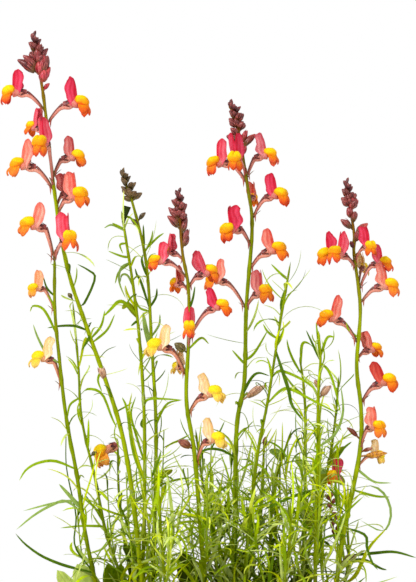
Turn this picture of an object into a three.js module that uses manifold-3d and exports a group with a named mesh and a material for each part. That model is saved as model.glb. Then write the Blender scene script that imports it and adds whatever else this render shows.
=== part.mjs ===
// A Moroccan toadflax in a plain clay pot: upright green stems set with thread-like leaves,
// carrying loose spikes of small spurred flowers with a pink upper lip and a yellow lower lip.
// Millimetres, +Z up. The origin is the middle of the pot's base, and -Y is the front.
import * as THREE from "three";
import { mergeVertices } from "three/addons/utils/BufferGeometryUtils.js";
import Module from "manifold-3d";

const wasm = await Module();
wasm.setup();

// Pot
const potHeight = 128;
const potRimRadius = 75;
const potFootRadius = 52;
const potWall = 5;
const rimBandHeight = 24;
const rimBandStep = 4;
const edgeRound = 1.5;
const bandUndercut = 0.8; // the rim band's lower edge swells out over this, then over bandSwell
const bandSwell = 3;
const potSides = 28;
const drainRadius = 5;
const drainCircle = 30;
const drainCount = 3;
const drainTurn = 30;
const potInnerTop = potRimRadius - potWall - 0.5;
const potInnerFoot = potFootRadius - potWall + 1;

// Soil
const soilLevel = 118;
const soilBump = 0.9;
const soilEdge = 2; // the soil is this much lower at the pot's wall
const soilSides = 15;
const soilRings = [0.72, 0.38]; // shares of its radius where its top is uneven
const soilWaves = [0.13, 0.17]; // radians a millimetre
const fitGap = 0.3;
const rootDepth = 20;
const rootClear = 0.45;
const stemStart = 121; // height of a route's first point, above which a stem leans

// Stems and leaves
const stemSides = 5;
const stemStep = 30;
const leafRadius = 0.45;
const longLeaf = 21; // a leaf longer than this bends in three places, a shorter one in two
const leafClear = 0.35;
const goldenTurn = 137.5;
const leafTries = 7;
const tryTurn = 23;
const denseHeight = 190; // leaves crowd below this height
const denseSpacing = 13.5;
const openSpacing = 22.5;
const crowding = 1.6; // the spacing is dense over this much less of the way up to denseHeight
const leafFirst = 7; // the first leaf above the soil, and the last below the stem's top
const leafLast = 6;
const leafLengths = [13, 29]; // up a stem and at its foot
const leafVary = [0.75, 0.6]; // least share of that length, and the most it grows by
const leafRise = [66, 40]; // degrees above level where a leaf starts
const leafDroop = [30, 90]; // degrees that it arches over
const leafSweep = 70; // degrees that it may curve aside
const leafTurn = 30; // degrees that its place in the spiral may vary by
const leafSpace = [0.8, 0.4]; // least share of the spacing, and the most it grows by
const leafLowest = 2.5; // above the soil
const leafHeld = 0.2; // share of its first stretch that is held by the stem
const shootRadius = 0.5;
const shootFirst = 6; // the first side shoot above the soil, and how far apart they start
const shootStep = 14;
const shootReach = [7, 13]; // least, and the most that it grows by
const shootRise = [26, 50];
const shootBends = [[0.5, 0.2], [0.85, 0.6], [1, 1]]; // shares of the reach and of the rise

// Flowers, for a full-sized one
const tubeLength = 7;
const tubeRadius = 2.1;
const lipHeight = 12;
const lipNotch = 9.6;
const lipWing = 4.7; // width of one lobe where it is widest, which is at this share of its height
const lipWide = 0.58;
const lipTipShare = 0.6;
const lipThickness = 1.1;
const lipLean = 0.1; // how far back the lip leans for each millimetre of its height
const lipRise = 0.6;
const lipRidge = 0.35; // behind the tube's front
const lipHollow = 0.8; // share of the notch's height at which the lip is thickest
const lipFold = 50; // degrees that each half of the upper lip folds back
const palateDepth = 4.6;
const palateWidth = 3;
const palateHeight = 2.9;
const palateRise = 1.1;
const palateWaist = [0.6, 0.95]; // share of the depth, and of the width there
const humpApart = 1.35;
const humpRise = 1.5;
const lobeEdge = [[2.2, 0.4], [3.3, -3], [0.9, -2.2]]; // across and up, left of the middle lobe
const lobeDrop = 4.6;
const lobeThickness = 1.1;
const lobeStart = 2.4;
const lobeFlare = 0.28; // how far forward the lobes stand for each millimetre they hang
const lobeBelly = [0.4, -1.6];
const lobeFall = 0.6;
const lipOverlap = 0.5; // a lower lip that is no piece of its own grows into the tube by this
const spurRoot = [3.6, -0.7]; // forward and up, from the throat
const spurBend = [0.6, -3];
const spurEnd = [2.4, -0.02]; // out from the stem, and share of the stalk's rise
const spurRadii = [0.9, 0.65, 0];
const calyxReach = 2.3; // where the calyx ends, forward of the stalk and out from the middle
const calyxRadius = 1.8;
const stalkRadius = 0.5;
const stalkBend = [0.42, 0.68]; // shares of its reach and rise where a flower's stalk bends
const tubeLift = 0.4;
const seatGap = 0.3;
const spurRoom = 1.1; // radii of the room that leaves leave round a flower
const tubeRoom = 2.9;
const upperRoom = 3.4;
const lowerRoom = 3.6;
const upperLine = [[4.4, 0, 2], [3.6, 0, 11.4]]; // middle lines of the upper and the lower lip
const lowerLine = [[9, 0, 1.5], [9.4, 0, -2.4]];
const budSides = 4;
const budWidest = 0.6; // share of its length
const crownSides = 3;
const crownStep = 1.75;
const crownLength = [4.4, 0.3, 0.8]; // of the top bud, what each next one adds, and what may vary
const crownRadius = [1.3, 0.07];
const crownLean = [14, 4];
const crownTurn = 20;

// Seeds of the draws, and what each stem adds to them
const crownSeed = [97, 1];
const shootSeed = [211, 19];
const leafSeed = [1009, 37];
const seedOf = ([first, step], order) => first + step * order;

// Colours
const clay = { color: 0xb5643c, roughness: 0.85, metalness: 0 };
const earth = { color: 0x3b2a1e, roughness: 1, metalness: 0 };
const leafGreen = { color: 0x86a01f, roughness: 0.6, metalness: 0 };
const petalPink = { color: 0xe8604c, roughness: 0.55, metalness: 0 };
const palateYellow = { color: 0xf8b010, roughness: 0.5, metalness: 0 };

// Every stem: its route from the soil to its tip, its radius at the foot and at the tip, and
// the height at which its flower spike starts. A flower is [height of its stalk on the stem,
// way it faces in degrees (0 right, 90 back, 180 left, 270 front), reach and rise of its
// stalk, nod upwards in degrees, size, 1 where its lower lip is a piece of its own].
// A bud is [height, way, length, lean outwards in degrees, radius]. Shoots are its side shoots.
const stems = [
  {
    name: "a", radii: [1.25, 0.7], spike: 313, crown: 7, shoots: 1,
    route: [[-34, -12, 121], [-39, -14, 168], [-43, -16, 199], [-49, -18, 226], [-64, -24, 270],
      [-71, -27, 291], [-76, -29, 314], [-80, -31, 345], [-84, -33, 381], [-89, -34, 410]],
    flowers: [
      [323, 325, 4.5, 8, 4, 1.1, 1], [327, 55, 4, 6, 8, 0.85, 0], [334, 186, 9, 12.5, 0, 1.05, 1],
      [337, 245, 5, 20.5, -6, 1.1, 1], [341, 2, 4, 9.5, 2, 0.95, 1], [358, 148, 4, 7, 6, 0.8, 0],
      [367, 352, 8, 10, -2, 1.05, 1], [373, 184, 9, 10, -8, 1, 1],
    ],
    buds: [[391, 180, 12.5, 52, 2.2], [389, 335, 12, 16, 2.3]],
  },
  {
    name: "b", radii: [1.1, 0.75], spike: 226, crown: 0, shoots: 1,
    route: [[-55, -8, 121], [-59, -12, 140], [-64, -18, 165], [-68, -25, 195], [-73, -31, 224],
      [-76, -36, 252], [-78, -40, 276], [-78, -43, 303]],
    flowers: [
      [238, 188, 4, 14, 4, 0.9, 1], [275, 204, 5.5, 12, -8, 0.72, 0],
      [300, 190, 4, 16.5, 4, 1.05, 1], [302, 298, 8, 8, 2, 1.05, 1],
    ],
    buds: [[300, 20, 9, 14, 0.9]],
  },
  {
    name: "c", radii: [1.15, 0.6], spike: 312, crown: 8, shoots: 3,
    route: [[-32, 10, 121], [-31, 14, 157], [-30, 18, 190], [-30, 23, 221], [-32, 28, 255],
      [-35, 33, 299], [-42, 36, 330], [-48, 37, 346]],
    flowers: [],
    buds: [[318, 200, 6, 40, 1.2], [321, 340, 6, 38, 1.2]],
  },
  {
    name: "e", radii: [1.2, 0.65], spike: 196, crown: 7, shoots: 3,
    route: [[-3, -26, 121], [-6, -29, 154], [-10, -35, 205], [-14, -38, 232], [-13, -40, 261],
      [-13, -41, 287], [-16, -42, 305], [-18, -43, 333]],
    flowers: [
      [201, 340, 4, 11, 8, 0.9, 1], [225, 346, 5.5, 9, 12, 0.95, 1], [244, 186, 7, 13.5, 6, 1, 1],
      [243, 120, 4, 5, 0, 0.7, 0], [259, 272, 7, 9, -4, 0.9, 1], [261, 352, 9, 15.5, 10, 0.9, 1],
      [285, 125, 5, 4, -4, 0.8, 0], [287, 28, 4, 6, 10, 0.95, 1], [291, 190, 8.5, 9, -4, 0.85, 1],
      [300, 150, 4, 4, 4, 0.75, 0],
    ],
    buds: [[306, 10, 7, 25, 1.5], [315, 190, 9, 38, 1.6], [313, 350, 7, 22, 1.4]],
  },
  {
    name: "f", radii: [1.3, 0.7], spike: 269, crown: 7, shoots: 3,
    route: [[9, 10, 121], [10, 15, 160], [11, 22, 215], [15, 25, 240], [16, 28, 277],
      [19, 31, 317], [17, 33, 337], [11, 35, 372], [7, 35, 381]],
    flowers: [
      [277, 312, 5.5, 7, 4, 1, 1], [276, 184, 9.5, 14.5, 0, 0.92, 1], [296, 346, 6.5, 9, 8, 1.05, 1],
      [308, 216, 6, 9.5, -12, 1.05, 1], [322, 344, 6.5, 11.5, 4, 1, 1], [330, 80, 4, 4, -14, 0.7, 0],
      [340, 182, 8, 11.5, -10, 1.05, 1], [343, 352, 4, 11, 4, 0.95, 1], [345, 252, 10, 8.5, -12, 1.05, 1],
    ],
    buds: [[358, 5, 10, 38, 1.7], [362, 185, 7, 66, 2], [366, 20, 6, 20, 1.2]],
  },
  {
    name: "i", radii: [1.25, 0.7], spike: 192, crown: 7, shoots: 2,
    route: [[58, -12, 121], [63, -10, 160], [72, -4, 204], [73, -1, 226], [71, 3, 248],
      [73, 7, 277], [70, 10, 304], [70, 11, 315], [66, 13, 340]],
    flowers: [
      [197, 12, 6, 7, -10, 0.7, 0], [207, 318, 4, 10.5, 0, 0.9, 1], [229, 350, 6, 9.5, 12, 1, 1],
      [251, 32, 4, 4.5, 4, 0.85, 1], [259, 186, 7.5, 11.5, 10, 1, 1], [279, 350, 7, 8.5, 2, 1, 1],
      [287, 72, 4, 9.5, 4, 0.7, 0], [286, 350, 6, 13, 2, 0.85, 1], [297, 222, 6.5, 6.5, 4, 0.95, 1],
      [299, 188, 7.5, 6, -12, 0.95, 1], [301, 296, 9, 7, -8, 0.85, 1],
    ],
    buds: [[316, 185, 8, 46, 1.7], [313, 8, 9, 42, 1.8], [319, 300, 7, 20, 1.4]],
  },
  {
    name: "b2", radii: [1, 0.5], crown: 0, shoots: 1,
    route: [[-38, 14, 121], [-46, 17, 138], [-55, 22, 162], [-61, 28, 190], [-68, 33, 220],
      [-70, 37, 248], [-73, 40, 281]],
  },
  {
    name: "d", radii: [1.05, 0.6], crown: 0, shoots: 2,
    route: [[-41, -4, 121], [-36, -8, 152], [-35, -12, 182], [-35, -17, 222], [-37, -22, 259],
      [-40, -26, 286], [-43, -28, 306], [-46, -29, 325]],
  },
  {
    name: "g", radii: [1, 0.5], crown: 0, shoots: 3,
    route: [[14, -10, 121], [16, -14, 160], [21, -20, 205], [26, -24, 232], [31, -28, 264],
      [37, -31, 300]],
  },
  {
    name: "h", radii: [0.95, 0.5], crown: 0, shoots: 3,
    route: [[42, 14, 121], [45, 17, 160], [46, 22, 215], [45, 24, 238], [43, 25, 252]],
  },
  {
    name: "k", radii: [1, 0.6], crown: 0, shoots: 3,
    route: [[50, -2, 121], [50, -8, 162], [51, -13, 202], [51, -17, 232], [52, -19, 251],
      [51, -20, 266]],
  },
  {
    name: "j", radii: [0.9, 0.5], crown: 0, shoots: 2,
    route: [[60, 8, 121], [67, 12, 146], [67, 16, 165], [66, 20, 186]],
  },
  {
    name: "l", radii: [0.9, 0.5], crown: 0, shoots: 3,
    route: [[6, 30, 121], [17, 24, 142], [22, 20, 170], [24, 18, 190], [25, 16, 212]],
  },
  {
    name: "q", radii: [0.9, 0.5], crown: 0, shoots: 3,
    route: [[28, 25, 121], [28, 24, 152], [29, 22, 180], [33, 20, 197], [39, 18, 216]],
  },
  {
    name: "p", radii: [0.9, 0.5], crown: 0, shoots: 3,
    route: [[40, 38, 121], [50, 42, 158], [58, 44, 193], [62, 45, 219], [64, 46, 242]],
  },
  {
    name: "r", radii: [0.9, 0.5], crown: 0, shoots: 2,
    route: [[-34, 36, 121], [-44, 40, 148], [-49, 42, 178], [-50, 44, 210]],
  },
  {
    name: "s", radii: [0.9, 0.5], crown: 0, shoots: 3,
    route: [[2, 52, 121], [0, 56, 150], [-6, 58, 184], [-10, 60, 214]],
  },
  {
    name: "t", radii: [0.9, 0.5], crown: 0, shoots: 3,
    route: [[-20, -46, 121], [-24, -52, 142], [-26, -56, 168], [-27, -58, 190]],
  },
  {
    name: "u", radii: [0.9, 0.5], crown: 0, shoots: 3,
    route: [[30, -42, 121], [33, -49, 142], [36, -53, 166], [36, -56, 186]],
  },
];

// A repeatable run of numbers from 0 to 1
function randomRun(seed) {
  let state = seed;
  return () => {
    state = (state * 16807) % 2147483647;
    return state / 2147483647;
  };
}

const radians = THREE.MathUtils.degToRad;
const up = new THREE.Vector3(0, 0, 1);
const outward = (turn) => new THREE.Vector3(Math.cos(radians(turn)), Math.sin(radians(turn)), 0);

// A closed geometry as a solid
function solidOf(geometry) {
  const bare = geometry.index ? geometry.clone() : geometry;
  bare.deleteAttribute("normal");
  bare.deleteAttribute("uv");
  const merged = mergeVertices(bare, 1e-3);
  return new wasm.Manifold(
    new wasm.Mesh({
      numProp: 3,
      vertProperties: merged.attributes.position.array,
      triVerts: new Uint32Array(merged.index.array),
    }),
  );
}

// Several solids grown together as one body, without loose scraps or sealed hollows
function grownTogether(solids) {
  const bodies = wasm.Manifold.union(solids).decompose();
  return bodies.reduce((best, body) => (body.volume() > best.volume() ? body : best));
}

function meshOf(solid, name, finish) {
  const { numProp, vertProperties, triVerts } = solid.getMesh();
  const positions = new Float32Array((vertProperties.length / numProp) * 3);
  for (let i = 0; i < positions.length / 3; i++)
    positions.set(vertProperties.subarray(i * numProp, i * numProp + 3), i * 3);
  const geometry = new THREE.BufferGeometry();
  geometry.setAttribute("position", new THREE.BufferAttribute(positions, 3));
  geometry.setIndex(new THREE.BufferAttribute(new Uint32Array(triVerts), 1));
  geometry.computeVertexNormals();
  const mesh = new THREE.Mesh(geometry, new THREE.MeshStandardMaterial(finish));
  mesh.name = name;
  return mesh;
}

// A closed geometry from corner points and triangles
function facets(corners, triangles) {
  const geometry = new THREE.BufferGeometry();
  geometry.setAttribute("position", new THREE.Float32BufferAttribute(corners.flat(), 3));
  geometry.setIndex(triangles.flat());
  return geometry;
}

// A tapering closed tube through points, with a radius at each; a last radius of 0 is a sharp tip
function taperedTube(points, radii, sides, side) {
  const corners = [];
  const triangles = [];
  const last = points.length - 1;
  const pointed = radii[last] === 0;
  const rings = pointed ? last : last + 1;
  for (let i = 0; i < rings; i++) {
    const along = points[Math.min(i + 1, last)].clone();
    along.sub(points[Math.max(i - 1, 0)]).normalize();
    const across = side.clone().addScaledVector(along, -side.dot(along)).normalize();
    const third = along.clone().cross(across);
    for (let k = 0; k < sides; k++) {
      const angle = (2 * Math.PI * k) / sides;
      const corner = points[i]
        .clone()
        .addScaledVector(across, radii[i] * Math.cos(angle))
        .addScaledVector(third, radii[i] * Math.sin(angle));
      corners.push(corner.toArray());
    }
  }
  for (let k = 1; k < sides - 1; k++) triangles.push([0, k + 1, k]);
  for (let i = 0; i < rings - 1; i++)
    for (let k = 0; k < sides; k++) {
      const a = i * sides + k;
      const b = i * sides + ((k + 1) % sides);
      triangles.push([a, b, b + sides], [a, b + sides, a + sides]);
    }
  const end = (rings - 1) * sides;
  if (pointed) {
    corners.push(points[last].toArray());
    for (let k = 0; k < sides; k++) triangles.push([end + k, end + ((k + 1) % sides), end + sides]);
  } else {
    for (let k = 1; k < sides - 1; k++) triangles.push([end, end + k, end + k + 1]);
  }
  return facets(corners, triangles);
}

// What each node occupies, as round-ended rods, so that leaves can be bent clear of other nodes
const rods = [];
function occupy(node, points, radius) {
  for (let i = 0; i + 1 < points.length; i++)
    rods.push({ node, a: points[i], b: points[i + 1], radius });
}

function rodDistance(p1, q1, p2, q2) {
  const d1 = q1.clone().sub(p1);
  const d2 = q2.clone().sub(p2);
  const r = p1.clone().sub(p2);
  const a = Math.max(d1.dot(d1), 1e-9);
  const e = Math.max(d2.dot(d2), 1e-9);
  const b = d1.dot(d2);
  const c = d1.dot(r);
  const f = d2.dot(r);
  const denom = a * e - b * b;
  let s = denom > 1e-9 ? THREE.MathUtils.clamp((b * f - c * e) / denom, 0, 1) : 0;
  const t = THREE.MathUtils.clamp((b * s + f) / e, 0, 1);
  s = THREE.MathUtils.clamp((b * t - c) / a, 0, 1);
  return p1.clone().addScaledVector(d1, s).distanceTo(p2.clone().addScaledVector(d2, t));
}

function isClear(node, points, radius) {
  for (let i = 0; i + 1 < points.length; i++)
    for (const rod of rods)
      if (
        rod.node !== node &&
        rodDistance(points[i], points[i + 1], rod.a, rod.b) < radius + rod.radius + leafClear
      )
        return false;
  return true;
}

// Stem routes
function routeOf(stem) {
  const points = stem.route.map((p) => new THREE.Vector3(...p));
  return new THREE.CatmullRomCurve3(points, false, "catmullrom", 0.5);
}

function shareAtHeight(curve, height) {
  let low = 0;
  let high = 1;
  for (let i = 0; i < 24; i++) {
    const middle = (low + high) / 2;
    if (curve.getPoint(middle).z < height) low = middle;
    else high = middle;
  }
  return (low + high) / 2;
}

function radiusAt(stem, share) {
  return THREE.MathUtils.lerp(stem.radii[0], stem.radii[1], share);
}

// The stretch of a stem between two heights, as points and radii
function stretch(stem, curve, from, to) {
  const start = shareAtHeight(curve, from);
  const end = shareAtHeight(curve, to);
  const steps = Math.max(2, Math.round((to - from) / stemStep));
  const points = [];
  const radii = [];
  for (let i = 0; i <= steps; i++) {
    const share = start + ((end - start) * i) / steps;
    points.push(curve.getPoint(share));
    radii.push(radiusAt(stem, share));
  }
  return { points, radii };
}

function stemSolid(stem, curve, node, from, to) {
  const { points, radii } = stretch(stem, curve, from, to);
  if (from === stemStart) {
    points.unshift(points[0].clone().setZ(soilLevel - rootDepth));
    radii.unshift(stem.radii[0]);
  }
  if (!stem.spike) radii[radii.length - 1] = 0;
  occupy(node, points, radii[0]);
  return solidOf(taperedTube(points, radii, stemSides, outward(0)));
}

// A bud: a plump drop on a short stalk
function budSolid(node, root, turn, length, lean, radius, sides) {
  const aim = outward(turn).multiplyScalar(Math.sin(radians(lean)));
  aim.z = Math.cos(radians(lean));
  const points = [0, budWidest, 1].map((share) => root.clone().addScaledVector(aim, share * length));
  occupy(node, points, radius);
  return solidOf(taperedTube(points, [stalkRadius, radius, 0], sides, outward(turn + 90)));
}

// The palate: a flat-backed boss with two humps, and the three lobes that hang below it
function lowerLip(size, start) {
  const ring = (x, grow) =>
    [90, 30, -30, -90, -150, 150].map((angle) => [
      x,
      grow * palateWidth * Math.cos(radians(angle)) * size,
      (palateRise + grow * palateHeight * Math.sin(radians(angle))) * size,
    ]);
  const tip = start + palateDepth * size;
  const corners = [
    ...ring(start, 1),
    ...ring(start + palateWaist[0] * palateDepth * size, palateWaist[1]),
    [tip, humpApart * size, humpRise * size],
    [tip, -humpApart * size, humpRise * size],
  ];
  const triangles = [[0, 1, 2], [0, 2, 3], [0, 3, 4], [0, 4, 5]];
  for (let k = 0; k < 6; k++) {
    const next = (k + 1) % 6;
    triangles.push([k, k + 6, next + 6], [k, next + 6, next]);
  }
  triangles.push([6, 12, 7], [7, 12, 8], [8, 12, 9], [9, 12, 13]);
  triangles.push([9, 13, 10], [10, 13, 11], [11, 13, 6], [6, 13, 12]);
  const palate = solidOf(facets(corners, triangles));
  const mirrored = lobeEdge.map(([y, z]) => [-y, z]).reverse();
  const outline = [...lobeEdge, [0, -lobeDrop], ...mirrored];
  const hang = start + lobeStart * size;
  const edge = outline.map(([y, z]) => [
    hang - lobeFlare * z * size,
    y * size,
    (z - lobeFall) * size,
  ]);
  const [belly, bellyHeight] = lobeBelly;
  const front = [hang + (belly + lobeThickness / 2) * size, 0, bellyHeight * size];
  const back = [hang + (belly - lobeThickness / 2) * size, 0, bellyHeight * size];
  const fans = [];
  outline.forEach((_, k) => {
    const next = (k + 1) % outline.length;
    fans.push([outline.length, next, k], [outline.length + 1, k, next]);
  });
  return [palate, solidOf(facets([...edge, front, back], fans))];
}

// A flower without its lower lip, as one closed surface of five-sided rings: the stalk, the
// calyx, the tube, and the upper lip of two lobes folded back from a ridge
function corollaFacets(stalk, left, at) {
  const corners = [];
  const ring = (place) => {
    for (let k = 0; k < 5; k++) {
      const angle = radians(90 + 72 * k);
      corners.push(place(Math.cos(angle), Math.sin(angle)).toArray());
    }
  };
  stalk.forEach((point, i) => {
    const along = stalk[Math.min(i + 1, 2)].clone().sub(stalk[Math.max(i - 1, 0)]).normalize();
    const raised = along.cross(left).multiplyScalar(stalkRadius);
    ring((c, s) =>
      point.clone().addScaledVector(left, stalkRadius * c).addScaledVector(raised, s),
    );
  });
  ring((c, s) => at(calyxReach, calyxRadius * c, calyxRadius * s));
  ring((c, s) => at(tubeLength, tubeRadius * c, tubeRadius * s + tubeLift));
  const ridge = tubeLength - lipRidge;
  const lipAt = (share, height, sign, depth) =>
    at(
      ridge - share * lipWing * Math.sin(radians(lipFold)) - depth - lipLean * height,
      sign * share * lipWing * Math.cos(radians(lipFold)),
      height + lipRise,
    ).toArray();
  corners.push(
    lipAt(1, lipWide * lipHeight, 1, lipThickness / 2),
    lipAt(lipTipShare, lipHeight, 1, lipThickness / 2),
    lipAt(1, lipWide * lipHeight, -1, lipThickness / 2),
    lipAt(lipTipShare, lipHeight, -1, lipThickness / 2),
    lipAt(0, lipNotch, 1, lipThickness / 2),
    lipAt(0, lipHollow * lipNotch, 1, 0),
    lipAt(0, lipHollow * lipNotch, 1, lipThickness),
  );
  const [wingLeft, tipLeft, wingRight, tipRight, notch, front, back] = [25, 26, 27, 28, 29, 30, 31];
  const [inner, outer] = [15, 20];
  const triangles = [[0, 2, 1], [0, 3, 2], [0, 4, 3]];
  for (let row = 0; row < 4; row++)
    for (let k = 0; k < 5; k++) {
      if (row === 3 && (k === 0 || k === 4)) continue; // the upper lip grows here
      const a = 5 * row + k;
      const b = 5 * row + ((k + 1) % 5);
      triangles.push([a, b, b + 5], [a, b + 5, a + 5]);
    }
  for (let k = 1; k < 4; k++) triangles.push([outer, outer + k, outer + k + 1]);
  triangles.push([outer, outer + 4, wingLeft], [outer, wingLeft, front]);
  triangles.push([front, wingLeft, tipLeft], [front, tipLeft, notch]);
  triangles.push([outer, wingRight, outer + 1], [outer, front, wingRight]);
  triangles.push([front, tipRight, wingRight], [front, notch, tipRight]);
  triangles.push([inner, wingLeft, inner + 4], [inner, back, wingLeft]);
  triangles.push([back, tipLeft, wingLeft], [back, notch, tipLeft]);
  triangles.push([inner, inner + 1, wingRight], [inner, wingRight, back]);
  triangles.push([back, wingRight, tipRight], [back, tipRight, notch]);
  triangles.push([outer + 4, inner + 4, wingLeft], [outer + 1, wingRight, inner + 1]);
  return facets(corners, triangles);
}

// One flower: its solids for the spike, and its lower lip, which may be a piece of its own
function flower(node, lipNode, stem, curve, [height, turn, reach, rise, nod, size, apart]) {
  const root = curve.getPoint(shareAtHeight(curve, height));
  const way = outward(turn);
  const fromRoot = (out, above) => root.clone().addScaledVector(way, out).addScaledVector(up, above);
  const throat = fromRoot(reach, rise);
  const bend = fromRoot(stalkBend[0] * reach, stalkBend[1] * rise);
  const stalk = new THREE.QuadraticBezierCurve3(root, bend, throat).getPoints(2);
  const forward = way.clone().multiplyScalar(Math.cos(radians(nod)));
  forward.z = Math.sin(radians(nod));
  const left = up.clone().cross(way);
  const placed = new THREE.Matrix4().makeBasis(forward, left, forward.clone().cross(left));
  placed.setPosition(throat);
  const at = (x, y, z) => new THREE.Vector3(x * size, y * size, z * size).applyMatrix4(placed);

  const knee = at(spurBend[0], 0, spurBend[1]);
  const spurTip = fromRoot(spurEnd[0], spurEnd[1] * rise);
  const spur = [at(spurRoot[0], 0, spurRoot[1]), knee, spurTip];
  const radii = spurRadii.map((radius) => radius * size);
  const solids = [
    solidOf(corollaFacets(stalk, left, at)),
    solidOf(taperedTube(spur, radii, 3, left)),
  ];
  const start = apart ? tubeLength * size + seatGap : (tubeLength - lipOverlap) * size;
  const lower = lowerLip(size, start).map((solid) => solid.transform(placed.elements));

  // The stalk, the spur, the calyx with the tube, the upper lip and the lower lip
  occupy(node, stalk, stalkRadius);
  occupy(node, spur, spurRoom * size);
  occupy(node, [at(0, 0, 0), at(tubeLength, 0, tubeLift)], tubeRoom * size);
  occupy(node, upperLine.map((place) => at(...place)), upperRoom * size);
  occupy(lipNode, lowerLine.map((place) => at(...place)), lowerRoom * size);
  return { solids, lower };
}

// The centre line of a leaf that leaves the stem rising and arches over
function leafLine(root, turn, length, rise, droop, sweep) {
  const points = [root.clone()];
  const place = root.clone();
  const segments = length > longLeaf ? 3 : 2;
  for (let i = 0; i < segments; i++) {
    const share = (i + 0.5) / segments;
    const pitch = radians(rise - droop * share);
    const aim = outward(turn + sweep * share).multiplyScalar(Math.cos(pitch));
    aim.z = Math.sin(pitch);
    place.addScaledVector(aim, length / segments);
    points.push(place.clone());
  }
  return points;
}

// The side shoots of one stem, without flowers, which rise beside it and clear the other nodes
function shootSolids(stem, curve, node, seed) {
  const next = randomRun(seed);
  const solids = [];
  let turn = 360 * next();
  for (let k = 0; k < stem.shoots; k++) {
    turn += goldenTurn;
    const height = soilLevel + shootFirst + shootStep * (k + 0.6 * next());
    const root = curve.getPoint(shareAtHeight(curve, height));
    const reach = shootReach[0] + shootReach[1] * next();
    const rise = shootRise[0] + shootRise[1] * next();
    for (let attempt = 0; attempt < leafTries; attempt++) {
      const aside = tryTurn * Math.ceil(attempt / 2) * (attempt % 2 ? 1 : -1);
      const way = outward(turn + aside);
      const line = shootBends.map(([out, above]) =>
        root.clone().addScaledVector(way, out * reach).addScaledVector(up, above * rise),
      );
      const free = [root.clone().lerp(line[0], leafHeld), ...line];
      if (isClear(node, free, shootRadius)) {
        occupy(node, free, shootRadius);
        const radii = [shootRadius, shootRadius, shootRadius, 0];
        solids.push(solidOf(taperedTube([root, ...line], radii, 3, outward(turn + aside + 90))));
        break;
      }
    }
  }
  return solids;
}

// The leaves of one stem, spiralling up it, each turned until it clears every other node
function leafSolids(stem, curve, node, top, seed) {
  const next = randomRun(seed);
  const solids = [];
  const between = ([from, to], share) => from + (to - from) * share;
  let height = soilLevel + leafFirst;
  let turn = 360 * next();
  while (height < top - leafLast) {
    const low = THREE.MathUtils.clamp((denseHeight - height) / (denseHeight - soilLevel), 0, 1);
    turn += goldenTurn + leafTurn * (next() - 0.5);
    const length = between(leafLengths, low) * (leafVary[0] + leafVary[1] * next());
    const rise = between(leafRise, next());
    const droop = between(leafDroop, next());
    const sweep = leafSweep * (next() - 0.5);
    const root = curve.getPoint(shareAtHeight(curve, height));
    for (let attempt = 0; attempt < leafTries; attempt++) {
      const aside = tryTurn * Math.ceil(attempt / 2) * (attempt % 2 ? 1 : -1);
      const line = leafLine(root, turn + aside, length, rise, droop, sweep);
      const free = line.slice();
      free[0] = root.clone().lerp(line[1], leafHeld);
      const high = line.every((p) => p.z > soilLevel + leafLowest);
      if (high && isClear(node, free, leafRadius)) {
        occupy(node, free, leafRadius);
        const radii = line.map((_, k) => (k < line.length - 1 ? leafRadius : 0));
        solids.push(solidOf(taperedTube(line, radii, 3, outward(turn + aside + 90))));
        break;
      }
    }
    const space = between([openSpacing, denseSpacing], Math.min(1, crowding * low));
    height += space * (leafSpace[0] + leafSpace[1] * next());
  }
  return solids;
}

// The crowded young buds at the tip of a spike
function crownSolids(stem, curve, node, seed) {
  const next = randomRun(seed);
  const tip = stem.route[stem.route.length - 1][2];
  const solids = [];
  for (let i = 0; i < stem.crown; i++) {
    const root = curve.getPoint(shareAtHeight(curve, tip - 1 - crownStep * i));
    const length = crownLength[0] + crownLength[1] * i + crownLength[2] * next();
    const turn = goldenTurn * i + crownTurn * next();
    const lean = crownLean[0] + crownLean[1] * i;
    const radius = crownRadius[0] + crownRadius[1] * i;
    solids.push(budSolid(node, root, turn, length, lean, radius, crownSides));
  }
  return solids;
}

// A profile of radii and heights turned about the pot's axis
function turned(profile, sides) {
  const points = profile.map(([radius, height]) => new THREE.Vector2(radius, height));
  return new THREE.LatheGeometry(points, sides).rotateX(Math.PI / 2);
}

function potSolid() {
  const slope = (potRimRadius - rimBandStep - potFootRadius) / (potHeight - rimBandHeight);
  const bandFoot = potHeight - rimBandHeight;
  const profile = [
    [0, 0],
    [potFootRadius - edgeRound, 0],
    [potFootRadius, edgeRound],
    [potFootRadius + slope * bandFoot, bandFoot],
    [potRimRadius - bandUndercut, bandFoot + bandUndercut],
    [potRimRadius, bandFoot + bandSwell],
    [potRimRadius, potHeight - edgeRound],
    [potRimRadius - edgeRound, potHeight],
    [potInnerTop + edgeRound, potHeight],
    [potInnerTop, potHeight - edgeRound],
    [potInnerFoot, potWall],
    [0, potWall],
  ];
  const wall = solidOf(turned(profile, potSides));
  const drains = Array.from({ length: drainCount }, (_, k) => {
    const hole = new THREE.CylinderGeometry(drainRadius, drainRadius, 4 * potWall, 12).rotateX(Math.PI / 2);
    const centre = outward(drainTurn + (360 * k) / drainCount).multiplyScalar(drainCircle);
    return solidOf(hole.translate(centre.x, centre.y, 0));
  });
  return drains.reduce((solid, drain) => solid.subtract(drain), wall);
}

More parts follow.
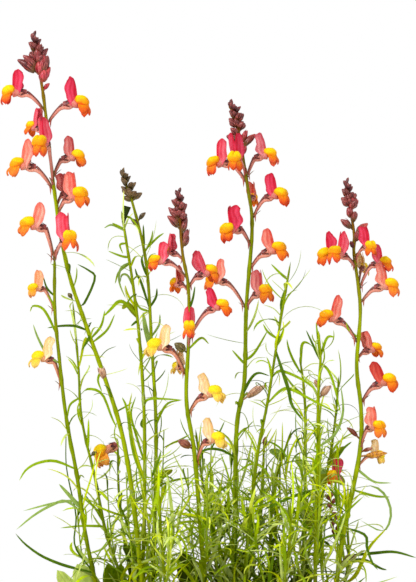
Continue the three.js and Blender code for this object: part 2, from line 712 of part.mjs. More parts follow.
// Soil, with a plain hole for each stem
function soilSolid(feet) {
  const slope = (potInnerTop - potInnerFoot) / (potHeight - edgeRound - potWall);
  const flat = Math.cos(Math.PI / potSides); // the pot's wall is nearest at the middle of a side
  const radiusAtZ = (z) => (potInnerFoot + slope * (z - potWall)) * flat - fitGap;
  const low = potWall + fitGap;
  const profile = [
    [0, low],
    [radiusAtZ(low), low],
    [radiusAtZ(soilLevel - soilEdge), soilLevel - soilEdge],
    [radiusAtZ(soilLevel) * soilRings[0], soilLevel],
    [radiusAtZ(soilLevel) * soilRings[1], soilLevel],
    [0, soilLevel],
  ];
  const geometry = turned(profile, soilSides);
  const place = geometry.attributes.position;
  for (let i = 0; i < place.count; i++) {
    if (place.getZ(i) < soilLevel - 0.5) continue;
    const swell = Math.sin(place.getX(i) * soilWaves[0] + 1) * Math.cos(place.getY(i) * soilWaves[1]);
    place.setZ(i, soilLevel + soilBump * swell);
  }
  let solid = solidOf(geometry);
  for (const { x, y, radius } of feet) {
    const hole = new THREE.CylinderGeometry(radius + rootClear, radius + rootClear, 2 * rootDepth, 6);
    hole.rotateX(Math.PI / 2).translate(x, y, soilLevel - fitGap);
    solid = solid.subtract(solidOf(hole));
  }
  return solid;
}

const plant = new THREE.Group();
plant.add(meshOf(potSolid(), "pot", clay));
const feet = stems.map(({ route, radii }) => ({ x: route[0][0], y: route[0][1], radius: radii[0] }));
plant.add(meshOf(soilSolid(feet), "soil", earth));

// The stems and flower spikes stand first, and the leaves then find their way between them.
const grown = stems.map((stem, order) => {
  const curve = routeOf(stem);
  const tip = stem.route[stem.route.length - 1][2];
  const spikeNode = "flower_spike_" + stem.name;
  const leafNode = "leafy_stem_" + stem.name;
  const top = stem.spike ? stem.spike : tip;
  const leafyTop = stem.spike ? top - fitGap / 2 : top;
  const leafy = [stemSolid(stem, curve, leafNode, stemStart, leafyTop)];
  const spike = [];
  if (stem.spike) {
    spike.push(stemSolid(stem, curve, spikeNode, top + fitGap / 2, tip));
    stem.flowers.forEach((each, number) => {
      const lipNode = "lower_lip_" + stem.name + (number + 1);
      const { solids, lower } = flower(spikeNode, each[6] ? lipNode : spikeNode, stem, curve, each);
      spike.push(...solids);
      if (each[6]) plant.add(meshOf(grownTogether(lower), lipNode, palateYellow));
      else spike.push(...lower);
    });
    for (const [height, turn, length, lean, radius] of stem.buds) {
      const root = curve.getPoint(shareAtHeight(curve, height));
      spike.push(budSolid(spikeNode, root, turn, length, lean, radius, budSides));
    }
    spike.push(...crownSolids(stem, curve, spikeNode, seedOf(crownSeed, order)));
    plant.add(meshOf(grownTogether(spike), spikeNode, petalPink));
  }
  return { stem, curve, leafNode, leafy, top, order };
});
for (const { stem, curve, leafNode, leafy, order } of grown)
  leafy.push(...shootSolids(stem, curve, leafNode, seedOf(shootSeed, order)));
for (const { stem, curve, leafNode, leafy, top, order } of grown) {
  leafy.push(...leafSolids(stem, curve, leafNode, top, seedOf(leafSeed, order)));
  plant.add(meshOf(grownTogether(leafy), leafNode, leafGreen));
}

export default plant;
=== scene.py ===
# Potted Moroccan toadflax: the looks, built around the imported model.
# Working numbers are millimetres in the model's own frame: +Z up, -Y to the front.
import math

import bpy
import numpy as np
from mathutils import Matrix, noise


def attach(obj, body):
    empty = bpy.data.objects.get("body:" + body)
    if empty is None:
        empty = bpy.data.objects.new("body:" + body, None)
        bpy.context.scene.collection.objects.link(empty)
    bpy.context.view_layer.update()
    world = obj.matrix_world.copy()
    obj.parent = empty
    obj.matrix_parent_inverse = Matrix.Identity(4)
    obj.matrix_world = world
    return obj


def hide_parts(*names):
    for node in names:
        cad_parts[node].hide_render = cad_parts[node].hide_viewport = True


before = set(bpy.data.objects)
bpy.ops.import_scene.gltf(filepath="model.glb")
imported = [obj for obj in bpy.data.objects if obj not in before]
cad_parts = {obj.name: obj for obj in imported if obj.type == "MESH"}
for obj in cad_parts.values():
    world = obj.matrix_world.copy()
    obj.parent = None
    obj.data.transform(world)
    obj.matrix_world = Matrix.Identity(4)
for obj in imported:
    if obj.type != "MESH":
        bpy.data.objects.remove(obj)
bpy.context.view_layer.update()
scene = bpy.context.scene
mm = 0.001
print("frame loaded:", len(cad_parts), "nodes")


# Small helpers

def colour(red, green, blue):
    shown = np.array([red, green, blue], float) / 255
    return np.where(shown <= 0.04045, shown / 12.92, ((shown + 0.055) / 1.055) ** 2.4)


def mixed(first, second, share):
    share = np.asarray(share, float)
    if share.ndim:
        share = share[:, None]
    return np.asarray(first) * (1 - share) + np.asarray(second) * share


def smooth(value, low=0.0, high=1.0):
    part = np.clip((np.asarray(value, float) - low) / (high - low), 0, 1)
    return part * part * (3 - 2 * part)


def unit(vector):
    return np.asarray(vector, float) / max(np.linalg.norm(vector), 1e-12)


def outward(turn):
    return np.array([math.cos(math.radians(turn)), math.sin(math.radians(turn)), 0.0])


def upward(turn, pitch):
    way = outward(turn) * math.cos(math.radians(pitch))
    way[2] = math.sin(math.radians(pitch))
    return way


def between(ends, share):
    return ends[0] + (ends[1] - ends[0]) * share


def randomRun(seed):
    state = [seed]

    def draw():
        state[0] = (state[0] * 16807) % 2147483647
        return state[0] / 2147483647

    return draw


up = np.array([0.0, 0.0, 1.0])


# Meshes: a part is its points, faces and tints, and a piece is several parts joined

def partOf(points, quads, tris, tint, skin=0, strip=None):
    points = np.asarray(points, float)
    tint = np.asarray(tint, float)
    if tint.ndim == 1:
        tint = np.tile(tint, (len(points), 1))
    if strip is None:
        strip = np.zeros((len(points), 2))
    return {
        "points": points,
        "quads": np.asarray(quads, int).reshape(-1, 4),
        "tris": np.asarray(tris, int).reshape(-1, 3),
        "tint": tint,
        "strip": strip,
        "skin": skin,
    }


def makePiece(name, parts, materials, nodes=(), sharpAngle=55):
    points, tints, strips, corners, totals, skins, start = [], [], [], [], [], [], 0
    for part in parts:
        points.append(part["points"])
        tints.append(part["tint"])
        strips.append(part["strip"])
        for faces in (part["quads"], part["tris"]):
            if len(faces):
                corners.append((faces + start).ravel())
                totals.append(np.full(len(faces), faces.shape[1]))
                skins.append(np.full(len(faces), part["skin"]))
        start += len(part["points"])
    points, tints = np.concatenate(points) * mm, np.concatenate(tints)
    corners, totals = np.concatenate(corners), np.concatenate(totals)
    mesh = bpy.data.meshes.new(name)
    mesh.vertices.add(len(points))
    mesh.vertices.foreach_set("co", points.astype(np.float32).ravel())
    mesh.loops.add(len(corners))
    mesh.loops.foreach_set("vertex_index", corners.astype(np.int32))
    mesh.polygons.add(len(totals))
    mesh.polygons.foreach_set("loop_start", (np.cumsum(totals) - totals).astype(np.int32))
    mesh.polygons.foreach_set("material_index", np.concatenate(skins).astype(np.int32))
    mesh.update(calc_edges=True)
    mesh.polygons.foreach_set("use_smooth", np.ones(len(totals), bool))
    rgba = np.concatenate([np.clip(tints, 0, 1), np.ones((len(tints), 1))], axis=1)
    layer = mesh.attributes.new("tint", "FLOAT_COLOR", "POINT")
    layer.data.foreach_set("color", rgba.astype(np.float32).ravel())
    strips = np.concatenate(strips)
    strips = np.concatenate([strips, np.zeros((len(strips), 1))], axis=1)
    layer = mesh.attributes.new("strip", "FLOAT_VECTOR", "POINT")
    layer.data.foreach_set("vector", strips.astype(np.float32).ravel())
    mesh.set_sharp_from_angle(angle=math.radians(sharpAngle))
    for material in materials:
        mesh.materials.append(material)
    piece = bpy.data.objects.new(name, mesh)
    scene.collection.objects.link(piece)
    dress(piece, nodes)
    return piece


def dress(piece, nodes=()):
    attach(piece, "root")
    if nodes:
        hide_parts(*nodes)


def takeShape(piece):
    # The points and faces of a modelled object, which is then deleted
    mesh = piece.data
    points = np.zeros(len(mesh.vertices) * 3)
    mesh.vertices.foreach_get("co", points)
    quads = [list(face.vertices) for face in mesh.polygons if len(face.vertices) == 4]
    tris = [list(face.vertices) for face in mesh.polygons if len(face.vertices) == 3]
    bpy.data.objects.remove(piece)
    return points.reshape(-1, 3), quads, tris


def applyAll(piece):
    bpy.context.view_layer.objects.active = piece
    for modifier in list(piece.modifiers):
        bpy.ops.object.modifier_apply(modifier=modifier.name)


def modelSheet(columns, rows):
    # A flat blade of two sides, from -1 to 1 across and along, that each petal bends its own way
    bpy.ops.object.select_all(action="DESELECT")
    bpy.ops.mesh.primitive_grid_add(x_subdivisions=columns, y_subdivisions=rows, size=2)
    sheet = bpy.context.object
    thick = sheet.modifiers.new("thick", "SOLIDIFY")
    thick.thickness = 1
    thick.offset = 0
    applyAll(sheet)
    return takeShape(sheet)


def modelBall(segments, rings):
    bpy.ops.object.select_all(action="DESELECT")
    bpy.ops.mesh.primitive_uv_sphere_add(segments=segments, ring_count=rings, radius=1)
    return takeShape(bpy.context.object)


def bentSheet(master, surface, thickness, tint, skin=0):
    # surface(u, v) gives points; the sheet's own thickness goes along the surface's normal
    flat, quads, tris = master
    u, v, w = flat.T
    step = 1e-3
    across = surface(u + step, v) - surface(u - step, v)
    along = surface(u, v + step) - surface(u, v - step)
    normal = np.cross(across, along)
    normal /= np.maximum(np.linalg.norm(normal, axis=1), 1e-12)[:, None]
    thin = 0.3 + 0.7 * (1 - np.abs(u) ** 3) * (1 - np.clip(v, 0, 1) ** 3)
    points = surface(u, v) + normal * (w * thin * thickness)[:, None]
    return partOf(points, quads, tris, tint(u, v), skin, np.stack([u, v], axis=1))


def tubePart(points, radii, sides, side, tint, skin=0, flatten=1.0):
    points = np.asarray(points, float)
    radii = np.asarray(radii, float)
    last = len(points) - 1
    pointed = radii[last] <= 0
    rings = last if pointed else last + 1
    along = np.gradient(points, axis=0)
    along /= np.maximum(np.linalg.norm(along, axis=1), 1e-12)[:, None]
    across = side - along * (along @ side)[:, None]
    across /= np.maximum(np.linalg.norm(across, axis=1), 1e-12)[:, None]
    third = np.cross(along, across)
    angle = 2 * np.pi * np.arange(sides) / sides
    ring = (
        across[:rings, None] * np.cos(angle)[None, :, None]
        + third[:rings, None] * np.sin(angle)[None, :, None] * flatten
    )
    body = points[:rings, None] + ring * radii[:rings, None, None]
    corners = np.concatenate([body.reshape(-1, 3), points[:1], points[last:]])
    k = np.arange(sides)
    after = (k + 1) % sides
    rows = np.arange(rings - 1)[:, None] * sides
    quads = np.stack([rows + k, rows + after, rows + sides + after, rows + sides + k], axis=-1)
    foot = np.full(sides, rings * sides)
    end = (rings - 1) * sides
    tris = np.concatenate([
        np.stack([foot, after, k], axis=1),
        np.stack([end + k, end + after, foot + 1], axis=1),
    ])
    tint = np.asarray(tint, float)
    if tint.ndim == 2:
        tint = np.concatenate([np.repeat(tint[:rings], sides, axis=0), tint[:1], tint[last:]])
    share = np.repeat(np.arange(rings) / last, sides)
    strip = np.stack([np.tile(np.abs(2 * k / sides - 1), rings), share], axis=1)
    strip = np.concatenate([strip, [[0, 0], [0, 1]]])
    return partOf(corners, quads, tris, tint, skin, strip)


def curveThrough(points, count):
    # A smooth line through points
    points = np.asarray(points, float)
    if len(points) == 2:
        return points[0] + (points[1] - points[0]) * np.linspace(0, 1, count)[:, None]
    return np.array([alongRoute(points, share) for share in np.linspace(0, 1, count)])


def bladePart(lines, sides, widths, thicknesses, foot, tips, skin=0, profile=None):
    # Many thin leaves at once: lines is leaf x sample x 3, and each has a lens-shaped section
    lines = np.asarray(lines, float)
    count, samples = lines.shape[:2]
    share = np.linspace(0, 1, samples)
    if profile is None:
        profile = (0.62 + 0.38 * smooth(share, 0, 0.25)) * np.sqrt(np.clip(1 - share ** 2.4, 0, 1))
    along = np.gradient(lines, axis=1)
    along /= np.maximum(np.linalg.norm(along, axis=2), 1e-12)[..., None]
    across = sides[:, None] - along * np.einsum("lsk,lk->ls", along, sides)[..., None]
    across /= np.maximum(np.linalg.norm(across, axis=2), 1e-12)[..., None]
    third = np.cross(along, across)
    wide = across * (profile * widths[:, None])[..., None] / 2
    deep = third * (profile * thicknesses[:, None])[..., None] / 2
    ring = np.stack([lines + wide, lines + deep, lines - wide, lines - deep], axis=2)
    body = ring[:, :-1].reshape(count, -1, 3)
    corners = np.concatenate([body, lines[:, -1:]], axis=1)
    size = corners.shape[1]
    k = np.arange(4)
    after = (k + 1) % 4
    rows = np.arange(samples - 2)[:, None] * 4
    quads = np.stack([rows + k, rows + after, rows + 4 + after, rows + 4 + k], axis=-1).reshape(-1, 4)
    end = (samples - 2) * 4
    tris = np.stack([end + k, end + after, np.full(4, size - 1)], axis=1)
    quads = np.concatenate([quads, [[3, 2, 1, 0]]])
    offset = (np.arange(count) * size)[:, None, None]
    shade = np.concatenate([np.repeat(share[:-1], 4), [1.0]])[None, :, None]
    tint = foot[:, None] * (1 - shade) + tips[:, None] * shade
    around = np.concatenate([np.tile([1.0, 0.0, -1.0, 0.0], samples - 1), [0.0]])
    strip = np.tile(np.stack([around, shade[0, :, 0]], axis=1), (count, 1))
    return partOf(
        corners.reshape(-1, 3),
        (quads[None] + offset).reshape(-1, 4),
        (tris[None] + offset).reshape(-1, 3),
        tint.reshape(-1, 3),
        skin,
        strip,
    )


# Materials

def addNode(tree, kind, place, inputs=None, **settings):
    node = tree.nodes.new(kind)
    node.location = place
    for key, value in settings.items():
        setattr(node, key, value)
    setInputs(node, inputs or {})
    return node


def newSkin(name):
    material = bpy.data.materials.new(name)
    material.use_nodes = True
    tree = material.node_tree
    return material, tree, tree.nodes["Principled BSDF"], tree.links.new


def setRamp(node, *stops):
    for element, (position, shade) in zip(node.color_ramp.elements, stops):
        element.position = position
        element.color = (*shade, 1)


def setInputs(node, inputs):
    for key, value in inputs.items():
        node.inputs[key].default_value = value


def multiplied(tree, place):
    return addNode(tree, "ShaderNodeMix", place, {"Factor": 1}, data_type="RGBA", blend_type="MULTIPLY")


def plantSkin(name, look):
    # A skin tinted by the piece's own tint, mottled and streaked, with a fine grain in relief
    material, tree, shader, link = newSkin(name)
    place = addNode(tree, "ShaderNodeTexCoord", (-1300, 0))
    stretch = addNode(tree, "ShaderNodeMapping", (-1100, 0), {"Scale": look["stretch"]})
    link(place.outputs["Object"], stretch.inputs["Vector"])
    tint = addNode(tree, "ShaderNodeAttribute", (-700, 300), attribute_name="tint")
    mottle = addNode(tree, "ShaderNodeTexNoise", (-900, 0), {"Scale": look["mottleScale"], "Detail": 3})
    link(stretch.outputs["Vector"], mottle.inputs["Vector"])
    ramp = addNode(tree, "ShaderNodeValToRGB", (-700, 0))
    setRamp(ramp, (0.3, look["dark"]), (0.72, look["light"]))
    link(mottle.outputs["Fac"], ramp.inputs["Fac"])
    paint = multiplied(tree, (-400, 200))
    link(tint.outputs["Color"], paint.inputs["A"])
    link(ramp.outputs["Color"], paint.inputs["B"])
    strip = addNode(tree, "ShaderNodeAttribute", (-1300, 600), attribute_name="strip")
    spread = addNode(tree, "ShaderNodeMapping", (-1100, 600), {"Scale": (look["veins"], 0.6, 1)})
    link(strip.outputs["Vector"], spread.inputs["Vector"])
    vein = addNode(tree, "ShaderNodeTexWave", (-900, 600), {
        "Scale": 0.5, "Distortion": 1.2, "Detail": 2,
    }, bands_direction="X")
    link(spread.outputs["Vector"], vein.inputs["Vector"])
    veinDepth = addNode(tree, "ShaderNodeMapRange", (-700, 600), {
        "From Min": 0.0, "From Max": 0.6, "To Min": 1 - look["veinDark"], "To Max": 1,
    })
    link(vein.outputs["Fac"], veinDepth.inputs["Value"])
    lined = multiplied(tree, (-150, 350))
    link(paint.outputs["Result"], lined.inputs["A"])
    link(veinDepth.outputs["Result"], lined.inputs["B"])
    link(lined.outputs["Result"], shader.inputs["Base Color"])
    grain = addNode(tree, "ShaderNodeTexNoise", (-700, -300), {"Scale": look["grainScale"], "Detail": 2})
    link(stretch.outputs["Vector"], grain.inputs["Vector"])
    relief = addNode(tree, "ShaderNodeBump", (-400, -300), {"Strength": look["relief"], "Distance": 0.0002})
    carved = addNode(tree, "ShaderNodeMath", (-550, -150), operation="ADD")
    link(grain.outputs["Fac"], carved.inputs[0])
    link(veinDepth.outputs["Result"], carved.inputs[1])
    link(carved.outputs["Value"], relief.inputs["Height"])
    link(relief.outputs["Normal"], shader.inputs["Normal"])
    rough = addNode(tree, "ShaderNodeMapRange", (-400, 0), {
        "To Min": look["roughness"] - 0.08, "To Max": look["roughness"] + 0.1,
    })
    link(mottle.outputs["Fac"], rough.inputs["Value"])
    link(rough.outputs["Result"], shader.inputs["Roughness"])
    setInputs(shader, {
        "Specular IOR Level": look["shine"], "Subsurface Weight": look["glow"],
        "Subsurface Radius": look["glowRadius"], "Subsurface Scale": look["glowDepth"],
    })
    return material


stemSkin = plantSkin("stem_skin", {
    "stretch": (1, 1, 0.08), "mottleScale": 900, "grainScale": 2600, "relief": 0.25,
    "dark": (0.64, 0.7, 0.5), "light": (1.2, 1.18, 1.0), "roughness": 0.5, "shine": 0.06,
    "glow": 0.12, "glowRadius": (0.5, 1.0, 0.15), "glowDepth": 0.0006, "veins": 5, "veinDark": 0.22,
})
leafSkin = plantSkin("leaf_skin", {
    "stretch": (1, 1, 0.5), "mottleScale": 420, "grainScale": 2200, "relief": 0.2,
    "dark": (0.7, 0.76, 0.55), "light": (1.16, 1.14, 1.0), "roughness": 0.5, "shine": 0.08,
    "glow": 0.15, "glowRadius": (0.6, 1.0, 0.1), "glowDepth": 0.0005, "veins": 1, "veinDark": 0.16,
})
petalSkin = plantSkin("petal_skin", {
    "stretch": (1, 1, 0.16), "mottleScale": 1500, "grainScale": 3800, "relief": 0.35,
    "dark": (0.86, 0.7, 0.72), "light": (1.1, 1.12, 1.12), "roughness": 0.5, "shine": 0.14,
    "glow": 0.22, "glowRadius": (1.0, 0.35, 0.25), "glowDepth": 0.0008, "veins": 9, "veinDark": 0.2,
})
palateSkin = plantSkin("palate_skin", {
    "stretch": (1, 1, 1), "mottleScale": 900, "grainScale": 5200, "relief": 0.5,
    "dark": (0.94, 0.84, 0.7), "light": (1.06, 1.08, 1.0), "roughness": 0.55, "shine": 0.14,
    "glow": 0.25, "glowRadius": (1.0, 0.6, 0.1), "glowDepth": 0.0008, "veins": 2, "veinDark": 0.04,
})
budSkin = plantSkin("bud_skin", {
    "stretch": (1, 1, 0.4), "mottleScale": 1300, "grainScale": 3000, "relief": 0.4,
    "dark": (0.55, 0.45, 0.45), "light": (1.35, 1.35, 1.3), "roughness": 0.3, "shine": 0.5,
    "glow": 0.06, "glowRadius": (1.0, 0.4, 0.3), "glowDepth": 0.0005, "veins": 6, "veinDark": 0.22,
})
print("plant skins made")


# Stems, as in the model. Each has its radius at foot and tip, its number of side shoots, how
# leafy it is below and above, how fresh its green is, and its route from the soil to the tip. One
# with flowers also has the height where its spike starts and how many buds its crown has.
# A flower is [height, way, reach, rise, nod, size, 1 where the lower lip is a node of its own,
# petal colours]. A bud is [height, way, length, lean, radius].
stems = [
    {"name": "a", "radii": [1.25, 0.7], "shoots": 1, "leafy": [0.25, 0.3], "green": 1,
     "spike": 313, "crown": 7,
     "route": [[-34, -12, 121], [-39, -14, 168], [-43, -16, 199], [-49, -18, 226], [-64, -24, 270],
               [-71, -27, 291], [-76, -29, 314], [-80, -31, 345], [-84, -33, 381], [-89, -34, 410]],
     "flowers": [[323, 325, 4.5, 8, 4, 1.1, 1, "coral"], [327, 55, 4, 6, 8, 0.85, 0, "dusty"],
                 [334, 186, 9, 12.5, 0, 1.05, 1, "salmon"], [337, 245, 5, 20.5, -6, 1.1, 1, "rose"],
                 [341, 2, 4, 9.5, 2, 0.95, 1, "dusty"], [358, 148, 4, 7, 6, 0.8, 0, "rose"],
                 [367, 352, 8, 10, -2, 1.05, 1, "crimson"], [373, 184, 9, 10, -8, 1, 1, "crimson"]],
     "buds": [[391, 180, 12.5, 52, 2.2], [389, 335, 12, 16, 2.3]]},
    {"name": "b", "radii": [1.1, 0.75], "shoots": 1, "leafy": [0.2, 0.3], "green": 0.45,
     "spike": 226, "crown": 0,
     "route": [[-55, -8, 121], [-59, -12, 140], [-64, -18, 165], [-68, -25, 195], [-73, -31, 224],
               [-76, -36, 252], [-78, -40, 276], [-78, -43, 303]],
     "flowers": [[238, 188, 4, 14, 4, 0.9, 1, "cream"], [275, 204, 5.5, 12, -8, 0.72, 0, "peach"],
                 [300, 190, 4, 16.5, 4, 1.05, 1, "salmon"], [302, 298, 8, 8, 2, 1.05, 1, "rose"]],
     "buds": [[300, 20, 9, 14, 0.9]]},
    {"name": "c", "radii": [1.15, 0.6], "shoots": 3, "leafy": [0.55, 0.6], "green": 0.7,
     "spike": 312, "crown": 8,
     "route": [[-32, 10, 121], [-31, 14, 157], [-30, 18, 190], [-30, 23, 221], [-32, 28, 255],
               [-35, 33, 299], [-42, 36, 330], [-48, 37, 346]],
     "flowers": [],
     "buds": [[318, 200, 6, 40, 1.2], [321, 340, 6, 38, 1.2]]},
    {"name": "e", "radii": [1.2, 0.65], "shoots": 3, "leafy": [0.9, 0.8], "green": 0.7,
     "spike": 196, "crown": 7,
     "route": [[-3, -26, 121], [-6, -29, 154], [-10, -35, 205], [-14, -38, 232], [-13, -40, 261],
               [-13, -41, 287], [-16, -42, 305], [-18, -43, 333]],
     "flowers": [[201, 340, 4, 11, 8, 0.9, 1, "cream"], [225, 346, 5.5, 9, 12, 0.95, 1, "cream"],
                 [244, 186, 7, 13.5, 6, 1, 1, "cream"], [243, 120, 4, 5, 0, 0.7, 0, "cream"],
                 [259, 272, 7, 9, -4, 0.9, 1, "rose"], [261, 352, 9, 15.5, 10, 0.9, 1, "crimson"],
                 [285, 125, 5, 4, -4, 0.8, 0, "coral"], [287, 28, 4, 6, 10, 0.95, 1, "rose"],
                 [291, 190, 8.5, 9, -4, 0.85, 1, "rose"], [300, 150, 4, 4, 4, 0.75, 0, "rose"]],
     "buds": [[306, 10, 7, 25, 1.5], [315, 190, 9, 38, 1.6], [313, 350, 7, 22, 1.4]]},
    {"name": "f", "radii": [1.3, 0.7], "shoots": 3, "leafy": [0.9, 0.5], "green": 0.6,
     "spike": 269, "crown": 7,
     "route": [[9, 10, 121], [10, 15, 160], [11, 22, 215], [15, 25, 240], [16, 28, 277],
               [19, 31, 317], [17, 33, 337], [11, 35, 372], [7, 35, 381]],
     "flowers": [[277, 312, 5.5, 7, 4, 1, 1, "dusty"], [276, 184, 9.5, 14.5, 0, 0.92, 1, "salmon"],
                 [296, 346, 6.5, 9, 8, 1.05, 1, "coral"], [308, 216, 6, 9.5, -12, 1.05, 1, "crimson"],
                 [322, 344, 6.5, 11.5, 4, 1, 1, "crimson"], [330, 80, 4, 4, -14, 0.7, 0, "salmon"],
                 [340, 182, 8, 11.5, -10, 1.05, 1, "rose"], [343, 352, 4, 11, 4, 0.95, 1, "pink"],
                 [345, 252, 10, 8.5, -12, 1.05, 1, "crimson"]],
     "buds": [[358, 5, 10, 38, 1.7], [362, 185, 7, 66, 2], [366, 20, 6, 20, 1.2]]},
    {"name": "i", "radii": [1.25, 0.7], "shoots": 2, "leafy": [0.45, 0.3], "green": 0.95,
     "spike": 192, "crown": 7,
     "route": [[58, -12, 121], [63, -10, 160], [72, -4, 204], [73, -1, 226], [71, 3, 248],
               [73, 7, 277], [70, 10, 304], [70, 11, 315], [66, 13, 340]],
     "flowers": [[197, 12, 6, 7, -10, 0.7, 0, "cream"], [207, 318, 4, 10.5, 0, 0.9, 1, "salmon"],
                 [229, 350, 6, 9.5, 12, 1, 1, "brick"], [251, 32, 4, 4.5, 4, 0.85, 1, "coral"],
                 [259, 186, 7.5, 11.5, 10, 1, 1, "coral"], [279, 350, 7, 8.5, 2, 1, 1, "salmon"],
                 [287, 72, 4, 9.5, 4, 0.7, 0, "cream"], [286, 350, 6, 13, 2, 0.85, 1, "rose"],
                 [297, 222, 6.5, 6.5, 4, 0.95, 1, "rose"], [299, 188, 7.5, 6, -12, 0.95, 1, "crimson"],
                 [301, 296, 9, 7, -8, 0.85, 1, "crimson"]],
     "buds": [[316, 185, 8, 46, 1.7], [313, 8, 9, 42, 1.8], [319, 300, 7, 20, 1.4]]},
    {"name": "b2", "radii": [1, 0.5], "shoots": 1, "leafy": [0.25, 0.4], "green": 0.35,
     "route": [[-38, 14, 121], [-46, 17, 138], [-55, 22, 162], [-61, 28, 190], [-68, 33, 220],
               [-70, 37, 248], [-73, 40, 281]]},
    {"name": "d", "radii": [1.05, 0.6], "shoots": 2, "leafy": [0.4, 0.45], "green": 0.7,
     "route": [[-41, -4, 121], [-36, -8, 152], [-35, -12, 182], [-35, -17, 222], [-37, -22, 259],
               [-40, -26, 286], [-43, -28, 306], [-46, -29, 325]]},
    {"name": "g", "radii": [1, 0.5], "shoots": 3, "leafy": [0.65, 1], "green": 0.5,
     "route": [[14, -10, 121], [16, -14, 160], [21, -20, 205], [26, -24, 232], [31, -28, 264],
               [37, -31, 300]]},
    {"name": "h", "radii": [0.95, 0.5], "shoots": 3, "leafy": [0.6, 1.2], "green": 0.6,
     "route": [[42, 14, 121], [45, 17, 160], [46, 22, 215], [45, 24, 238], [43, 25, 252]]},
    {"name": "k", "radii": [1, 0.6], "shoots": 3, "leafy": [0.55, 0.9], "green": 0.9,
     "route": [[50, -2, 121], [50, -8, 162], [51, -13, 202], [51, -17, 232], [52, -19, 251],
               [51, -20, 266]]},
    {"name": "j", "radii": [0.9, 0.5], "shoots": 2, "leafy": [0.5, 0.4], "green": 0.5,
     "route": [[60, 8, 121], [67, 12, 146], [67, 16, 165], [66, 20, 186]]},
    {"name": "l", "radii": [0.9, 0.5], "shoots": 3, "leafy": [1.1, 0.9], "green": 0.95,
     "route": [[6, 30, 121], [17, 24, 142], [22, 20, 170], [24, 18, 190], [25, 16, 212]]},
    {"name": "q", "radii": [0.9, 0.5], "shoots": 3, "leafy": [0.6, 1.1], "green": 0.5,
     "route": [[28, 25, 121], [28, 24, 152], [29, 22, 180], [33, 20, 197], [39, 18, 216]]},
    {"name": "p", "radii": [0.9, 0.5], "shoots": 3, "leafy": [0.6, 1.2], "green": 0.4,
     "route": [[40, 38, 121], [50, 42, 158], [58, 44, 193], [62, 45, 219], [64, 46, 242]]},
    {"name": "r", "radii": [0.9, 0.5], "shoots": 2, "leafy": [0.4, 1.2], "green": 0.4,
     "route": [[-34, 36, 121], [-44, 40, 148], [-49, 42, 178], [-50, 44, 210]]},
    {"name": "s", "radii": [0.9, 0.5], "shoots": 3, "leafy": [1.6, 1.5], "green": 0.4,
     "route": [[2, 52, 121], [0, 56, 150], [-6, 58, 184], [-10, 60, 214]]},
    {"name": "t", "radii": [0.9, 0.5], "shoots": 3, "leafy": [1, 1.1], "green": 0.8,
     "route": [[-20, -46, 121], [-24, -52, 142], [-26, -56, 168], [-27, -58, 190]]},
    {"name": "u", "radii": [0.9, 0.5], "shoots": 3, "leafy": [0.8, 0.9], "green": 0.7,
     "route": [[30, -42, 121], [33, -49, 142], [36, -53, 166], [36, -56, 186]]},
]
# The soil's top is at level, 10 mm below the top of the rim
soil = {
    "level": 118, "bump": 0.9, "edge": 2, "bottom": 5.3, "footRadius": 47.4, "topRadius": 68.2,
    "rootDepth": 20, "rings": 46, "sides": 96, "crumbs": 320, "crumbSize": (0.5, 1.5),
    "crumbReach": 66, "wallReach": 63, "crumbShade": (0.7, 1.7), "barkShare": 0.12,
    "barkShade": (1.9, 1.5, 1.15), "dark": colour(34, 24, 16), "light": colour(104, 78, 54),
}
# The gap between a leafy stem and its spike, the height where the routes start, and the turn from
# one leaf to the next
fitGap = 0.3
routeFoot = 121
goldenTurn = 137.5

# Each kind of random draw starts from its own seed, with a step from stem to stem
seeds = {
    "spike": (4001, 53), "crown": (97, 1), "shoots": (211, 19), "leaves": (1009, 37),
    "leafLooks": (5003, 31), "threads": (7001, 1), "strays": (613, 0), "crumbs": (12, 0),
}


def seedOf(kind, order=0):
    return seeds[kind][0] + seeds[kind][1] * order


def alongRoute(points, share):
    points = np.asarray(points, float)
    count = len(points)
    place = (count - 1) * share
    index = int(math.floor(place))
    weight = place - index
    if index >= count - 1:
        index, weight = count - 2, 1.0
    before = points[index - 1] if index > 0 else 2 * points[0] - points[1]
    first, second = points[index], points[index + 1]
    after = points[index + 2] if index + 2 < count else 2 * points[-1] - points[-2]
    leave, arrive = (second - before) * 0.5, (after - first) * 0.5
    square = -3 * first + 3 * second - 2 * leave - arrive
    cube = 2 * first - 2 * second + leave + arrive
    return first + leave * weight + square * weight ** 2 + cube * weight ** 3


def shareAtHeight(route, height):
    low, high = 0.0, 1.0
    for _ in range(24):
        middle = (low + high) / 2
        if alongRoute(route, middle)[2] < height:
            low = middle
        else:
            high = middle
    return (low + high) / 2


def onStem(stem, height):
    return alongRoute(stem["route"], shareAtHeight(stem["route"], height))


def stemRadius(stem, share):
    return between(stem["radii"], share)


# What is occupied, as round-ended rods: leaves turn aside until they clear it
rodLimit = 6000
rodCount = 0
rodOwner = np.zeros(rodLimit, int)
rodStart = np.zeros((rodLimit, 3))
rodEnd = np.zeros((rodLimit, 3))
rodRadius = np.zeros(rodLimit)
owners = {}


def occupy(owner, points, radius):
    global rodCount
    number = owners.setdefault(owner, len(owners))
    for first, second in zip(points[:-1], points[1:]):
        rodOwner[rodCount] = number
        rodStart[rodCount], rodEnd[rodCount] = first, second
        rodRadius[rodCount] = radius
        rodCount += 1


